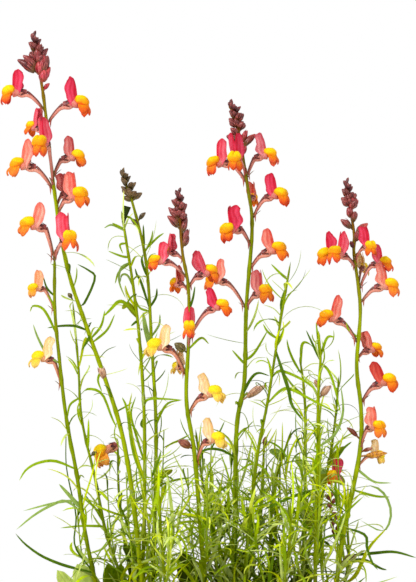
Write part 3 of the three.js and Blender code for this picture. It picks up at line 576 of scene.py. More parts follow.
def isClear(owner, points, radius, clearance=0.35):
    # The shortest way from each straight stretch to every other owner's rods
    others = rodOwner[:rodCount] != owners.get(owner, -1)
    a, b, rod = rodStart[:rodCount][others], rodEnd[:rodCount][others], rodRadius[:rodCount][others]
    d2 = b - a
    e = np.maximum((d2 * d2).sum(1), 1e-9)
    for first, second in zip(points[:-1], points[1:]):
        d1 = second - first
        r = first - a
        length = max(float(d1 @ d1), 1e-9)
        mix = d2 @ d1
        c = r @ d1
        f = (d2 * r).sum(1)
        spread = length * e - mix * mix
        s = np.where(spread > 1e-9, np.clip((mix * f - c * e) / np.maximum(spread, 1e-9), 0, 1), 0)
        t = np.clip((mix * s + f) / e, 0, 1)
        s = np.clip((mix * t - c) / length, 0, 1)
        gap = np.linalg.norm(first + d1 * s[:, None] - a - d2 * t[:, None], axis=1)
        if (gap < radius + rod + clearance).any():
            return False
    return True


# Flower colours: upper lip deep and pale, lower lobes, tube with spur
petals = {
    "crimson": [(204, 8, 48), (246, 88, 122), (232, 68, 20), (214, 112, 100)],
    "rose": [(222, 30, 62), (250, 128, 144), (240, 94, 30), (222, 128, 114)],
    "pink": [(210, 70, 88), (250, 168, 172), (236, 92, 10), (218, 128, 116)],
    "coral": [(222, 74, 58), (250, 172, 152), (242, 108, 22), (222, 128, 106)],
    "dusty": [(190, 62, 66), (240, 162, 152), (232, 104, 24), (206, 122, 106)],
    "brick": [(202, 38, 30), (236, 112, 92), (232, 84, 20), (206, 112, 92)],
    "salmon": [(236, 100, 78), (252, 188, 166), (244, 128, 42), (230, 146, 122)],
    "peach": [(244, 150, 94), (255, 208, 164), (246, 172, 70), (236, 148, 106)],
    "cream": [(246, 204, 122), (255, 240, 200), (252, 214, 96), (214, 134, 80)],
}
petals = {name: [colour(*each) for each in row] for name, row in petals.items()}
palates = {
    "usual": [colour(255, 222, 0), colour(252, 164, 2), colour(236, 96, 20)],
    "peach": [colour(255, 226, 20), colour(254, 190, 16), colour(244, 140, 40)],
    "cream": [colour(255, 236, 30), colour(252, 222, 30), colour(248, 196, 70)],
}
# maroonPale, oliveBudPale and the second tone of beige, dried, oliveDry and withered are the pale tints that
# budParts uses as a painted highlight on buds and pods; maroonPale also tints the sepals of the calyx
maroon = colour(82, 6, 14)
maroonPale = colour(244, 128, 120)
tubePale = colour(240, 180, 156)
oliveStem = colour(132, 118, 12)
oliveBud = colour(84, 70, 20)
oliveBudPale = colour(214, 168, 120)
ruddyStem = colour(128, 52, 26)
openingBud = colour(236, 92, 78)
stemGreens = (colour(108, 132, 0), colour(162, 178, 0))
shootGreens = (colour(112, 140, 14), colour(168, 190, 40))
beige = (colour(206, 150, 116), colour(248, 222, 194))
dried = (colour(140, 60, 40), colour(226, 160, 130))
oliveDry = (colour(96, 90, 24), colour(176, 150, 96))
withered = (colour(238, 150, 20), colour(252, 216, 90))

# Sizes of one flower at size 1. A lobe of the lower lip is (way round, length, half width).
flowerForm = {
    "tubeLength": 7.0, "lipHeight": 12.0, "lipWidth": 5.9, "lipFold": 57, "lipNotch": 0.17,
    "lipThickness": 0.55, "palateHalf": (3.3, 3.25, 3.3), "palateBack": 3.5, "palateRise": 1.25,
    "seatGap": 0.3, "lipOverlap": 0.5, "spurKnee": (0.6, -3.0), "spurEnd": (2.4, -0.02),
    "stalkBend": (0.42, 0.68), "lobes": ((0, 4.8, 1.8), (68, 5.6, 2.5), (-68, 5.6, 2.5)),
}
lipSheet = modelSheet(18, 18)
lobeSheet = modelSheet(8, 9)
sepalSheet = modelSheet(4, 7)
palateBall = modelBall(22, 14)
budBall = modelBall(14, 10)
flowerSkins = [stemSkin, petalSkin, budSkin, palateSkin]
stemPart, petalPart, budPart, palatePart = range(4)


def bowed(root, bend, throat, share):
    return (1 - share) ** 2 * root + 2 * share * (1 - share) * bend + share ** 2 * throat


def flowerAt(stem, row):
    # The flower's own frame: forward, left and up from its throat, and its stalk from the stem
    height, turn, reach, rise, nod, size = row[:6]
    root = onStem(stem, height)
    way = outward(turn)
    throat = root + way * reach + up * rise
    bend = root + way * reach * flowerForm["stalkBend"][0] + up * rise * flowerForm["stalkBend"][1]
    share = np.array([0, 0.5, 1])[:, None]
    coarse = bowed(root, bend, throat, share)
    forward = way * math.cos(math.radians(nod)) + up * math.sin(math.radians(nod))
    left = np.cross(up, way)
    axes = np.array([forward, left, np.cross(forward, left)])

    def at(x, y, z):
        return throat + (np.stack(np.broadcast_arrays(x, y, z), axis=-1) * size) @ axes

    knee = at(flowerForm["spurKnee"][0], 0, flowerForm["spurKnee"][1])
    tip = root + way * flowerForm["spurEnd"][0] + up * flowerForm["spurEnd"][1] * rise
    return {"root": root, "way": way, "left": left, "throat": throat, "bend": bend, "at": at,
            "stalk": coarse, "spur": [at(3.6, 0, -0.7), knee, tip], "size": size,
            "below": unit(way * rise - up * reach)}


def occupyFlower(node, lipNode, place):
    at, size = place["at"], place["size"]
    occupy(node, place["stalk"], 0.5)
    occupy(node, place["spur"], 1.1 * size)
    occupy(node, [at(0, 0, 0), at(flowerForm["tubeLength"], 0, 0.4)], 2.9 * size)
    occupy(node, [at(4.4, 0, 2), at(3.6, 0, 11.4)], 3.4 * size)
    ahead = flowerForm["tubeLength"] + 2
    occupy(lipNode, [at(ahead, 0, 1.5), at(ahead + 0.4, 0, -2.4)], 3.6 * size)


def upperLip(place, look, draw):
    deep, pale = look[0], look[1]
    fold = math.radians(flowerForm["lipFold"] + 12 * (draw() - 0.5))
    phase, twist, notch = 6.3 * draw(), 0.1 * (draw() - 0.5), flowerForm["lipNotch"] * (0.5 + 1.3 * draw())
    lean, ridge = 0.13 * draw() - 0.02, flowerForm["tubeLength"] - 0.2
    tall = flowerForm["lipHeight"] * (0.94 + 0.12 * draw())
    wave = 0.2 + 0.45 * draw()
    narrow = 0.04 + 0.26 * draw()

    def surface(u, v):
        side = np.abs(u)
        top = tall * (
            1 - notch * np.exp(-((side / 0.2) ** 2)) - 0.14 * np.clip((side - 0.4) / 0.6, 0, 1) ** 3
            + 0.02 * np.cos(9 * u + 3 * phase)
        )
        base = 0.9 - 2.0 * side ** 2
        height = base + (top - base) * (v + 1) / 2
        broad = 3.1 + (flowerForm["lipWidth"] - 3.1) * smooth(height, -1.5, 3.5)
        broad = broad * (1 - narrow * smooth(height, 4.5, 12.5))
        across = u * broad
        back = np.sqrt(across ** 2 + 0.3) - 0.55
        x = ridge - back * math.sin(fold) - lean * height - 0.004 * height ** 2
        x = x - 0.04 * np.clip(np.abs(across) - 2.5, 0, 9) ** 2
        x = x + wave * side * np.sin(0.8 * height + phase + u) + 0.1 * np.cos(6 * u)
        y = across * math.cos(fold) + twist * height * (x - ridge)
        return place["at"](x, y, height)

    def tint(u, v):
        stripe = 0.5 + 0.5 * np.cos(17 * np.abs(u) + 0.8 * np.sin(3 * v + phase))
        edge = smooth(np.abs(u), 0.2, 0.8)
        share = 0.55 * stripe * (1 - 0.5 * smooth(v, 0.2, 1)) + 0.4 * edge + 0.35 * smooth(-v, 0.2, 1) - 0.1
        shade = mixed(deep, pale, np.clip(share, 0, 1))
        return mixed(shade, deep * 0.75, 0.5 * smooth(v, 0.65, 1) + 0.25 * smooth(np.abs(u), 0.88, 1))

    return bentSheet(lipSheet, surface, flowerForm["lipThickness"], tint, petalPart)


def tubeAndSpur(place, look):
    at, size = place["at"], place["size"]
    along = np.array([0.2, 1.0, 2.0, 3.2, 4.4, 5.6, 6.6, 7.2, 7.3])
    wide = np.array([0.6, 1.0, 1.3, 1.6, 1.85, 2.1, 2.25, 2.15, 1.6])
    line = at(along, 0 * along, 0.35 * smooth(along, 0, 6.5))
    shade = mixed(mixed(look[3], maroon, 0.25), mixed(look[3], tubePale, 0.45), smooth(along, 0.5, 4))
    shade = mixed(shade, look[0], 0.35 * smooth(along, 4, 7))
    tube = tubePart(line, wide * size, 16, place["left"], shade, petalPart)
    root, bend, throat = place["root"], place["bend"], place["throat"]
    knots = [at(4.8, 0, -0.5), at(2.9, 0, -1.7), at(0.5, 0, -1.75)]
    for along in (0.72, 0.45, 0.2):
        spot = bowed(root, bend, throat, along)
        knots.append(spot + place["below"] * size * (0.6 + 0.5 * along))
    knots.append(root + place["way"] * 1.9 - up * 1.6)
    line = curveThrough(knots, 14)
    share = np.linspace(0, 1, 14)
    radii = size * (0.72 * (1 - share) ** 0.7 + 0.33) * np.sqrt(np.clip(1 - share ** 9, 0, 1))
    shade = mixed(mixed(look[3], tubePale, 0.55), mixed(look[3], maroon, 0.4), smooth(share, 0.4, 1))
    spur = tubePart(line, radii, 12, place["left"], shade, petalPart)
    return [tube, spur]


def calyx(place, draw):
    at = place["at"]
    parts = []
    for k in range(5):
        angle = math.radians(90 + 72 * k + 16 * (draw() - 0.5))
        curl = 0.5 + 1.1 * draw()
        reach = 3.8 + 1.0 * draw()
        across = np.array([0, -math.sin(angle), math.cos(angle)])
        out = np.array([0, math.cos(angle), math.sin(angle)])

        def surface(u, v):
            share = (v + 1) / 2
            ray = 0.6 + 1.2 * share ** 0.8 + 0.35 * curl * share ** 3
            half = 0.95 * np.clip(1 - share, 0, 1) ** 0.5 * (0.8 + 0.7 * share)
            x = -0.5 + reach * share - 0.35 * curl * share ** 4
            y = out[1] * ray + across[1] * u * half
            z = out[2] * ray + across[2] * u * half
            return at(x, y, z + 0.3 * share)

        def tint(u, v):
            return mixed(mixed(maroonPale, maroon, 0.5), maroon, smooth(v, -1, 0.6))

        parts.append(bentSheet(sepalSheet, surface, 0.35, tint, budPart))
    return parts


def stalkPart(place, look):
    share = np.linspace(0, 1, 9)[:, None]
    root, bend, throat = place["root"], place["bend"], place["throat"]
    line = bowed(root, bend, throat, share)
    radii = 0.43 + 0.22 * smooth(np.abs(share[:, 0] - 0.45), 0.2, 0.55)
    shade = mixed(mixed(oliveStem, maroon, 0.45), mixed(maroon, look[3], 0.25), smooth(share[:, 0], 0, 0.6))
    return tubePart(line, radii, 8, place["left"], shade, budPart)


def lowerLipParts(place, look, apart, draw, bowl="usual"):
    size = place["size"]
    at = place["at"]
    gap = flowerForm["seatGap"] / size if apart else -flowerForm["lipOverlap"]
    start = flowerForm["tubeLength"] + gap
    deep, wide, tall = flowerForm["palateHalf"]
    points, quads, tris = palateBall
    nx, ny, nz = points.T
    swell = 1 + 0.1 * np.exp(-(((np.abs(ny) - 0.5) / 0.28) ** 2)) * smooth(nz, -0.6, 0.2)
    swell = swell - 0.24 * np.exp(-((ny / 0.15) ** 2)) * smooth(nx + 0.5 * nz, -0.3, 0.5)
    seed = 50 * draw()
    lumps = np.array([
        noise.noise((1.5 * a + seed, 1.5 * b, 1.5 * c))
        + 0.5 * noise.noise((3.4 * a, 3.4 * b + seed, 3.4 * c))
        for a, b, c in points
    ])
    swell = swell * (1 + 0.1 * lumps)
    x = start + 1.8 + np.where(nx > 0, deep, flowerForm["palateBack"]) * nx * swell - 0.25 * nz
    y = wide * ny * swell * (1 - 0.06 * smooth(-nz, 0.2, 1))
    z = flowerForm["palateRise"] + tall * nz * swell * np.where(nz > 0, 0.94, 0.86) - 0.42 * nx
    warm = 0.35 * draw() - 0.1
    warmRim = 0.45 + 0.55 * draw()
    top, middle, foot = palates[bowl]
    lumpShift = 0.25 * lumps
    # Colour from orange below to yellow on top: partly the palate's own colour and partly painted shade on
    # its underside; the lumps move the edge between the colours
    lower = smooth(nz + 0.2 * nx + lumpShift, -0.8 + warm, -0.15 + warm)
    shade = mixed(mixed(foot, look[2], 0.5), middle, lower)
    shade = mixed(shade, top, smooth(nz - 0.3 * nx + lumpShift, -0.25 + warm, 0.6 + warm))
    # Painted shade: darker orange along the middle crease
    shade = mixed(shade, middle * np.array([1, 0.7, 0.5]), 0.55 * np.exp(-((ny / 0.13) ** 2)))
    shade = mixed(shade, look[0], 0.6 * smooth(-nx - 0.3 * nz, 0.5, 0.95))
    parts = [partOf(at(x, y, z), quads, tris, shade, palatePart)]
    for around, length, half in flowerForm["lobes"]:
        azimuth = math.radians(around + 14 * (draw() - 0.5))
        out = np.array([math.cos(azimuth), math.sin(azimuth)])
        curl, flare, reach = 0.7 * draw(), 1.3 + 1.5 * draw(), length * (0.8 + 0.3 * draw())
        sway, ragged = 1.2 * (draw() - 0.5), 6.3 * draw()

        def surface(u, v):
            share = (v + 1) / 2
            broad = half * (0.9 + 0.45 * share - 0.5 * share ** 2) * np.clip(1 - share ** 4, 0, 1) ** 0.6
            away = 1.9 + flare * np.sin(1.9 * share) - curl * share ** 3 - 0.5 * u ** 2
            side = u * broad + sway * share ** 2
            x = start + 1.9 + away * out[0] - side * out[1]
            y = 0.85 * away * out[1] + side * out[0]
            frill = 0.35 * share * np.cos(6 * u + ragged)
            return at(x + 0.3 * frill, y, 0.3 - reach * share + 0.3 * u ** 2 + frill)

        def tint(u, v):
            shade = mixed(middle, mixed(middle, look[2], 0.7), smooth(v, -1, 0.2))
            rim = np.clip(0.9 * smooth(v, -0.1, 0.95) + 0.6 * smooth(np.abs(u), 0.4, 1), 0, 1)
            return mixed(shade, mixed(look[2], look[0], 0.65), rim * warmRim)

        parts.append(bentSheet(lobeSheet, surface, 0.6, tint, petalPart))
    return parts


def budParts(root, turn, length, lean, radius, draw, ripe=0.0, tints=None, stalk=0.25):
    deep, pale = tints or (maroon, maroonPale)
    aim = outward(turn) * math.sin(math.radians(lean)) + up * math.cos(math.radians(lean))
    side = outward(turn + 90)
    third = np.cross(aim, side)
    points, quads, tris = budBall
    nx, ny, nz = points.T
    angle = np.arctan2(ny, nx)
    ridge = 1 + 0.08 * np.cos(5 * angle + 6 * draw())
    sharp = 1 - 0.3 * smooth(nz, 0.3, 1)
    hook = 0.1 * length * smooth(nz, 0, 1) ** 2
    foot = root + aim * length * stalk
    body = (
        foot
        + aim * (length * (1 - stalk) * (0.5 + 0.5 * nz))[:, None]
        + (side * (radius * nx * ridge * sharp)[:, None])
        + (third * (radius * ny * ridge * sharp)[:, None])
        + outward(turn) * (hook * (0.4 if lean < 30 else 1))[:, None]
    )
    # Painted highlight: the bud is lighter towards its tip and along its ridges, in its pale tint
    light = smooth(nz, -0.2, 0.9) * (0.35 + 0.65 * draw()) * (0.6 + 0.4 * np.cos(angle * 5 + 1))
    shade = mixed(deep, pale, 0.7 * light)
    shade = mixed(shade, openingBud, ripe * smooth(nz, -0.3, 0.5))
    parts = [partOf(body, quads, tris, shade, budPart)]
    line = [root, foot, foot + aim * length * 0.15]
    parts.append(tubePart(line, [0.42, 0.5, 0.6], 7, side, mixed(oliveStem, deep, 0.5), budPart))
    if radius > 1.3:
        lift = 1.0 - 0.5 * smooth(radius, 1, 2.2)
        for k in range(5):
            around = math.radians(72 * k) + 0.4 * draw()
            out = side * math.cos(around) + third * math.sin(around)
            across = np.cross(aim, out)
            reach = (0.42 + 0.5 * float(lift) * draw()) * length

            def surface(u, v):
                share = (v + 1) / 2
                ray = radius * (0.42 + 0.68 * np.sin(share * 2.3)) * (1 - 0.12 * share)
                half = 0.55 * radius * np.clip(1 - share, 0, 1) ** 0.6 * (0.8 + share)
                spot = aim * (reach * share)[:, None] + out * ray[:, None]
                return foot + spot - across * (u * half)[:, None]

            def tint(u, v):
                edge = mixed(deep, pale, 0.1 + 0.4 * np.abs(u))
                return mixed(mixed(deep, oliveStem, 0.35), edge, smooth(v, -0.8, 0.4))

            parts.append(bentSheet(sepalSheet, surface, 0.3, tint, budPart))
    return parts


def bractPart(stem, height, turn, length, shade, shift=0.0):
    root = onStem(stem, height)
    line = archLines([root], [turn + shift], [length], [62], [30], [0])
    return bladePart(line, outward(turn + 90)[None], np.array([1.5]), np.array([0.5]),
                     shade[None], mixed(shade, maroon, 0.4)[None], budPart)


def archLines(roots, turns, lengths, rises, droops, sweeps, samples=9):
    roots, turns, lengths = np.asarray(roots, float), np.asarray(turns, float), np.asarray(lengths, float)
    rises, droops, sweeps = np.asarray(rises, float), np.asarray(droops, float), np.asarray(sweeps, float)
    share = (np.arange(samples - 1) + 0.5) / (samples - 1)
    pitch = np.radians(rises[:, None] - droops[:, None] * share)
    heading = np.radians(turns[:, None] + sweeps[:, None] * share)
    level = np.cos(pitch)
    step = np.stack([np.cos(heading) * level, np.sin(heading) * level, np.sin(pitch)], axis=-1)
    step *= (lengths / (samples - 1))[:, None, None]
    travelled = np.concatenate([np.zeros((len(roots), 1, 3)), np.cumsum(step, axis=1)], axis=1)
    return roots[:, None] + travelled


# Stems swell in small knots, one in each cycle of their height, and waver a little between them
stemForm = {
    "knotRate": 0.13, "knotCycle": 3.1, "knotPlace": 1.5, "knotSpread": 0.04, "knotSwell": 0.22,
    "waves": ((0.05, 0.55), (0.03, 1.7)), "knotShade": 0.12, "sides": 10, "coarseStep": 30,
}


def stemTube(stem, low, high, node, spacing=2.4, pointed=False):
    # A stem between two heights: the coarse line occupies space, and the fine one is drawn
    route = stem["route"]
    start, end = shareAtHeight(route, low), shareAtHeight(route, high)
    steps = max(2, round((high - low) / stemForm["coarseStep"]))
    coarse = [alongRoute(route, start + (end - start) * i / steps) for i in range(steps + 1)]
    if low == routeFoot:
        coarse.insert(0, np.array([*coarse[0][:2], soil["level"] - soil["rootDepth"]]))
    occupy(node, coarse, stemRadius(stem, start) if low != routeFoot else stem["radii"][0])
    count = max(6, int((high - low) / spacing))
    above = end if high == route[-1][2] else shareAtHeight(route, high + 1)
    shares = np.linspace(start, above, count)
    line = [alongRoute(route, share) for share in shares]
    radii = [stemRadius(stem, share) for share in shares]
    if low == routeFoot:
        line = [coarse[0], np.array([*line[0][:2], soil["level"]])] + line
        radii = [stem["radii"][0]] * 2 + radii
    line, radii = np.array(line), np.array(radii)
    cycle = (line[:, 2] * stemForm["knotRate"] + line[0, 0]) % stemForm["knotCycle"]
    knots = np.exp(-((cycle - stemForm["knotPlace"]) ** 2) / stemForm["knotSpread"])
    (slow, slowRate), (quick, quickRate) = stemForm["waves"]
    waver = 1 + slow * np.sin(line[:, 2] * slowRate) + quick * np.sin(line[:, 2] * quickRate)
    radii = radii * (waver + stemForm["knotSwell"] * knots)
    if pointed:
        radii[-1] = 0
        radii[-2] *= 0.6
    fresh = mixed(*stemGreens, stem["green"])
    # Painted shade: the stem is darker low down, among the leaves
    shade = mixed(fresh * 0.8, fresh, smooth(line[:, 2], 120, 190))
    shade = shade * (1 - stemForm["knotShade"] * knots[:, None])
    if stem.get("spike"):
        tip = route[-1][2]
        ruddy = stem["name"] not in ("b", "c")
        shade = mixed(shade, oliveStem, (0.3 + 0.5 * ruddy) * smooth(line[:, 2], tip - 85, tip - 40))
        shade = mixed(shade, ruddyStem, 0.75 * ruddy * smooth(line[:, 2], tip - 45, tip - 15))
    return tubePart(line, radii, stemForm["sides"], outward(0), shade, stemPart)


# Young buds crowded under the crowns: [height, way, length, lean, radius, how far they show colour]
moreBuds = {
    "a": [
        [393, 200, 10.5, 44, 1.9, 0.1], [395, 255, 9, 22, 1.9, 0.3], [389, 245, 9, 14, 2.0, 0.8],
        [391, 310, 10, 16, 2.0, 0.6], [386, 300, 8, 18, 2.1, 1], [387, 350, 9, 26, 1.7, 1],
        [397, 20, 8.5, 30, 1.5, 0.1], [400, 130, 7, 30, 1.4, 0], [383, 0, 5, 34, 1.1, 1],
    ],
    "i": [
        [325, 300, 7.5, 12, 2.0, 0.6], [326, 15, 7, 24, 1.9, 0.5], [321, 200, 7, 18, 1.7, 0.3],
        [329, 240, 6, 16, 1.5, 0.1], [309, 330, 8, 26, 1.6, 0.2], [306, 210, 5, 20, 1.2, 0.1],
    ],
    "e": [
        [318, 185, 9.5, 30, 1.5, 0.2], [312, 5, 10, 14, 1.5, 0], [306, 15, 10, 14, 1.5, 0.1],
        [320, 330, 6, 24, 1.3, 0], [321, 230, 6, 20, 1.3, 0],
    ],
    "f": [
        [360, 350, 8, 20, 1.4, 0.6], [364, 200, 6.5, 40, 1.6, 0.1], [367, 330, 6, 26, 1.3, 0.1],
        [368, 230, 6, 18, 1.3, 0.2], [354, 350, 6, 14, 1.1, 0.8],
    ],
}

# The crown of a spike: its length, lean and radius are for the top bud, then what each adds
crownForm = {
    "step": 1.75, "length": (4.4, 0.3), "vary": 0.8, "turn": 20, "lean": (14, 4),
    "radius": (1.3, 0.07), "tipRadius": 0.8, "tipDrop": 2.4,
    "tipBuds": ((0, 2, 4.6), (120, 16, 3.8), (250, 18, 3.6)),
    "around": ((95, 0.6, 0.86), (190, 1.1, 0.8), (280, 1.5, 0.76)),
}


def occupyBud(node, root, turn, length, lean, radius):
    aim = upward(turn, 90 - lean)
    occupy(node, [root, root + aim * 0.6 * length, root + aim * length], radius)


# Flower spikes and their lower lips
print("stems and spikes")
leafyParts = {}
for order, stem in enumerate(stems):
    tip = stem["route"][-1][2]
    leafNode, spikeNode = "leafy_stem_" + stem["name"], "flower_spike_" + stem["name"]
    top = stem.get("spike", tip)
    hasSpike = "spike" in stem
    leafyTop = top - fitGap / 2 if hasSpike else top
    leafyParts[leafNode] = [stemTube(stem, routeFoot, leafyTop, leafNode, pointed=not hasSpike)]
    if not hasSpike:
        continue
    draw = randomRun(seedOf("spike", order))
    isOlive = stem["name"] == "c"
    budTints = (oliveBud, oliveBudPale) if isOlive else None
    spike = [stemTube(stem, top + fitGap / 2, tip, spikeNode, pointed=True)]
    for number, row in enumerate(stem["flowers"]):
        lipNode = "lower_lip_" + stem["name"] + str(number + 1)
        apart, look = row[6], petals[row[7]]
        bowl = row[7] if row[7] in palates else "usual"
        place = flowerAt(stem, row)
        occupyFlower(spikeNode, lipNode if apart else spikeNode, place)
        spike.append(upperLip(place, look, draw))
        spike += tubeAndSpur(place, look)
        spike += calyx(place, draw)
        spike.append(stalkPart(place, look))
        tintBract = mixed(look[3], oliveStem, 0.25 + 0.5 * draw())
        spike.append(bractPart(stem, row[0] - 0.5, row[1], 5 + 2.5 * draw(), tintBract, 40 * (draw() - 0.5)))
        lower = lowerLipParts(place, look, apart, draw, bowl)
        if apart:
            makePiece("lip_" + stem["name"] + str(number + 1), lower, flowerSkins, [lipNode])
        else:
            spike += lower
    for height, turn, length, lean, radius in stem["buds"]:
        root = onStem(stem, height)
        occupyBud(spikeNode, root, turn, length, lean, radius)
        spike += budParts(root, turn, length, lean, radius, draw, 0.7 * draw() * (radius > 1.5), budTints)
    for height, turn, length, lean, radius, ripe in moreBuds.get(stem["name"], []):
        tints = (mixed(maroon, petals["crimson"][0], 0.8 * ripe), mixed(maroonPale, petals["rose"][1], ripe))
        spike += budParts(onStem(stem, height), turn, length, lean, radius, draw, 0.4 * ripe, tints)
    if stem["crown"]:
        root = onStem(stem, tip - crownForm["tipDrop"])
        for turn, lean, length in crownForm["tipBuds"]:
            spike += budParts(root, turn, length, lean, crownForm["tipRadius"], draw, 0, budTints)
    drawCrown = randomRun(seedOf("crown", order))
    for i in range(stem["crown"]):
        root = onStem(stem, tip - 1 - crownForm["step"] * i)
        length = crownForm["length"][0] + crownForm["length"][1] * i + crownForm["vary"] * drawCrown()
        turn = goldenTurn * i + crownForm["turn"] * drawCrown()
        lean = crownForm["lean"][0] + crownForm["lean"][1] * i
        radius = crownForm["radius"][0] + crownForm["radius"][1] * i
        occupyBud(spikeNode, root, turn, length, lean, radius)
        plump = radius * (0.6 + 0.06 * i) * (0.8 if isOlive else 1)
        spike += budParts(root, turn, 0.9 * length, lean, plump, draw, 0, budTints, 0.25)
        for aside, drop, small in crownForm["around"]:
            spot = onStem(stem, tip - 1.2 - drop - crownForm["step"] * i)
            small = small * (0.9 + 0.2 * draw())
            spike += budParts(spot, turn + aside, small * length, lean + 10, plump, draw, 0, budTints, 0.25)
    makePiece("spike_" + stem["name"], spike, flowerSkins, [spikeNode])
print("spikes made, rods:", rodCount)

# Leaves of the model, in the same places
leafForm = {
    "radius": 0.45, "long": 21, "tries": 7, "tryTurn": 23, "denseHeight": 190,
    "spacing": (22.5, 13.5), "first": 7, "last": 6, "lengths": (13, 29),
    "vary": (0.75, 0.6), "rise": (66, 40), "droop": (30, 90), "sweep": 70, "turn": 30,
    "space": (0.8, 0.4), "crowding": 1.6, "lowest": 2.5, "held": 0.2, "width": 1.25, "flatness": 0.4,
}
# Leaf greens; the palest are partly leaf colour and partly painted highlight, standing in for light caught
# on the blades
leafGreens = [colour(190, 214, 0), colour(164, 190, 0), colour(98, 128, 0), colour(212, 226, 4),
              colour(206, 224, 120), colour(138, 168, 0), colour(222, 234, 80), colour(212, 228, 130)]


def asideOf(attempt):
    # Each try turns further, to one side and then the other
    return leafForm["tryTurn"] * math.ceil(attempt / 2) * (1 if attempt % 2 else -1)


def leafLine(root, turn, length, rise, droop, sweep):
    points = [root]
    segments = 3 if length > leafForm["long"] else 2
    for i in range(segments):
        share = (i + 0.5) / segments
        points.append(points[-1] + upward(turn + sweep * share, rise - droop * share) * length / segments)
    return points


def modelLeaves(stem, node, top, seed):
    draw = randomRun(seed)
    lines, sides = [], []
    height = soil["level"] + leafForm["first"]
    turn = 360 * draw()
    while height < top - leafForm["last"]:
        low = min(max((leafForm["denseHeight"] - height) / (leafForm["denseHeight"] - soil["level"]), 0), 1)
        turn += goldenTurn + leafForm["turn"] * (draw() - 0.5)
        length = between(leafForm["lengths"], low)
        length *= leafForm["vary"][0] + leafForm["vary"][1] * draw()
        rise = between(leafForm["rise"], draw())
        droop = between(leafForm["droop"], draw())
        sweep = leafForm["sweep"] * (draw() - 0.5)
        root = onStem(stem, height)
        for attempt in range(leafForm["tries"]):
            aside = asideOf(attempt)
            line = leafLine(root, turn + aside, length, rise, droop, sweep)
            free = [root + (line[1] - root) * leafForm["held"]] + line[1:]
            high = all(p[2] > soil["level"] + leafForm["lowest"] for p in line)
            if high and isClear(node, free, leafForm["radius"]):
                occupy(node, free, leafForm["radius"])
                lines.append(curveThrough(line, 9))
                sides.append(outward(turn + aside + 90))
                break
        space = between(leafForm["spacing"], min(1, leafForm["crowding"] * low))
        height += space * (leafForm["space"][0] + leafForm["space"][1] * draw())
    return lines, sides


def leafTints(count, draw):
    picks = np.array([leafGreens[int(draw() * len(leafGreens))] for _ in range(count)])
    return picks * np.array([[0.8 + 0.35 * draw()] for _ in range(count)])


shootForm = {
    "radius": 0.5, "first": 6, "step": 14, "reach": (7, 13), "rise": (26, 50),
    "bends": ((0.5, 0.2), (0.85, 0.6), (1, 1)),
}


def sideShoots(stem, node, seed):
    draw = randomRun(seed)
    lines = []
    turn = 360 * draw()
    for number in range(stem["shoots"]):
        turn += goldenTurn
        height = soil["level"] + shootForm["first"] + shootForm["step"] * (number + 0.6 * draw())
        root = onStem(stem, height)
        reach = shootForm["reach"][0] + shootForm["reach"][1] * draw()
        rise = shootForm["rise"][0] + shootForm["rise"][1] * draw()
        for attempt in range(leafForm["tries"]):
            aside = asideOf(attempt)
            way = outward(turn + aside)
            line = [root + way * out * reach + up * above * rise for out, above in shootForm["bends"]]
            free = [root + (line[0] - root) * leafForm["held"]] + line
            if isClear(node, free, shootForm["radius"]):
                occupy(node, free, shootForm["radius"])
                lines.append(curveThrough([root] + line, 16))
                break
    return lines


shootLines = {}
for order, stem in enumerate(stems):
    node = "leafy_stem_" + stem["name"]
    shootLines[stem["name"]] = sideShoots(stem, node, seedOf("shoots", order))
    green = mixed(*shootGreens, stem["green"])
    for line in shootLines[stem["name"]]:
        radii = np.linspace(shootForm["radius"] + 0.05, 0.28, len(line))
        leafyParts[node].append(tubePart(line, radii, 6, outward(0), green, 0))
print("side shoots:", sum(len(lines) for lines in shootLines.values()))

leafTotal = 0
for order, stem in enumerate(stems):
    node = "leafy_stem_" + stem["name"]
    top = stem.get("spike", stem["route"][-1][2])
    lines, sides = modelLeaves(stem, node, top, seedOf("leaves", order))
    draw = randomRun(seedOf("leafLooks", order))
    tints = leafTints(len(lines), draw)
    widths = np.array([leafForm["width"] * (0.85 + 0.3 * draw()) for _ in lines])
    thick = widths * leafForm["flatness"]
    leafyParts[node].append(bladePart(lines, np.array(sides), widths, thick, tints, tints * 1.1, 1))
    leafTotal += len(lines)
    makePiece(node + "_fine", leafyParts[node], [stemSkin, leafSkin], [node])
print("model leaves:", leafTotal)


# Thread leaves, far more and finer than the model's: they fill the lower half of the plant.
# Up to fadeFrom they are long and broad, and above fadeTo short and narrow. A leaf that would reach
# the soil is lifted, or left out where that isn't enough.
thread = {
    "width": (0.75, 1.5), "broader": 1.5, "thickness": 0.32, "length": (14, 36), "upperLength": (8, 20),
    "rise": (5, 78), "droop": (-50, 130), "sweep": 110, "fadeFrom": 150, "fadeTo": 215,
    "lowGap": 2.3, "highGap": 2.5, "lowest": 119.0, "shootGap": 2.1, "shootUpperGap": 3.0,
    "shootScale": 0.8, "turnVary": 30, "longShare": 0.14, "longer": 1.5, "sunk": 0.25,
    "liftedRise": 70, "liftedDroop": 25, "greens": (0.8, 1.2),
}


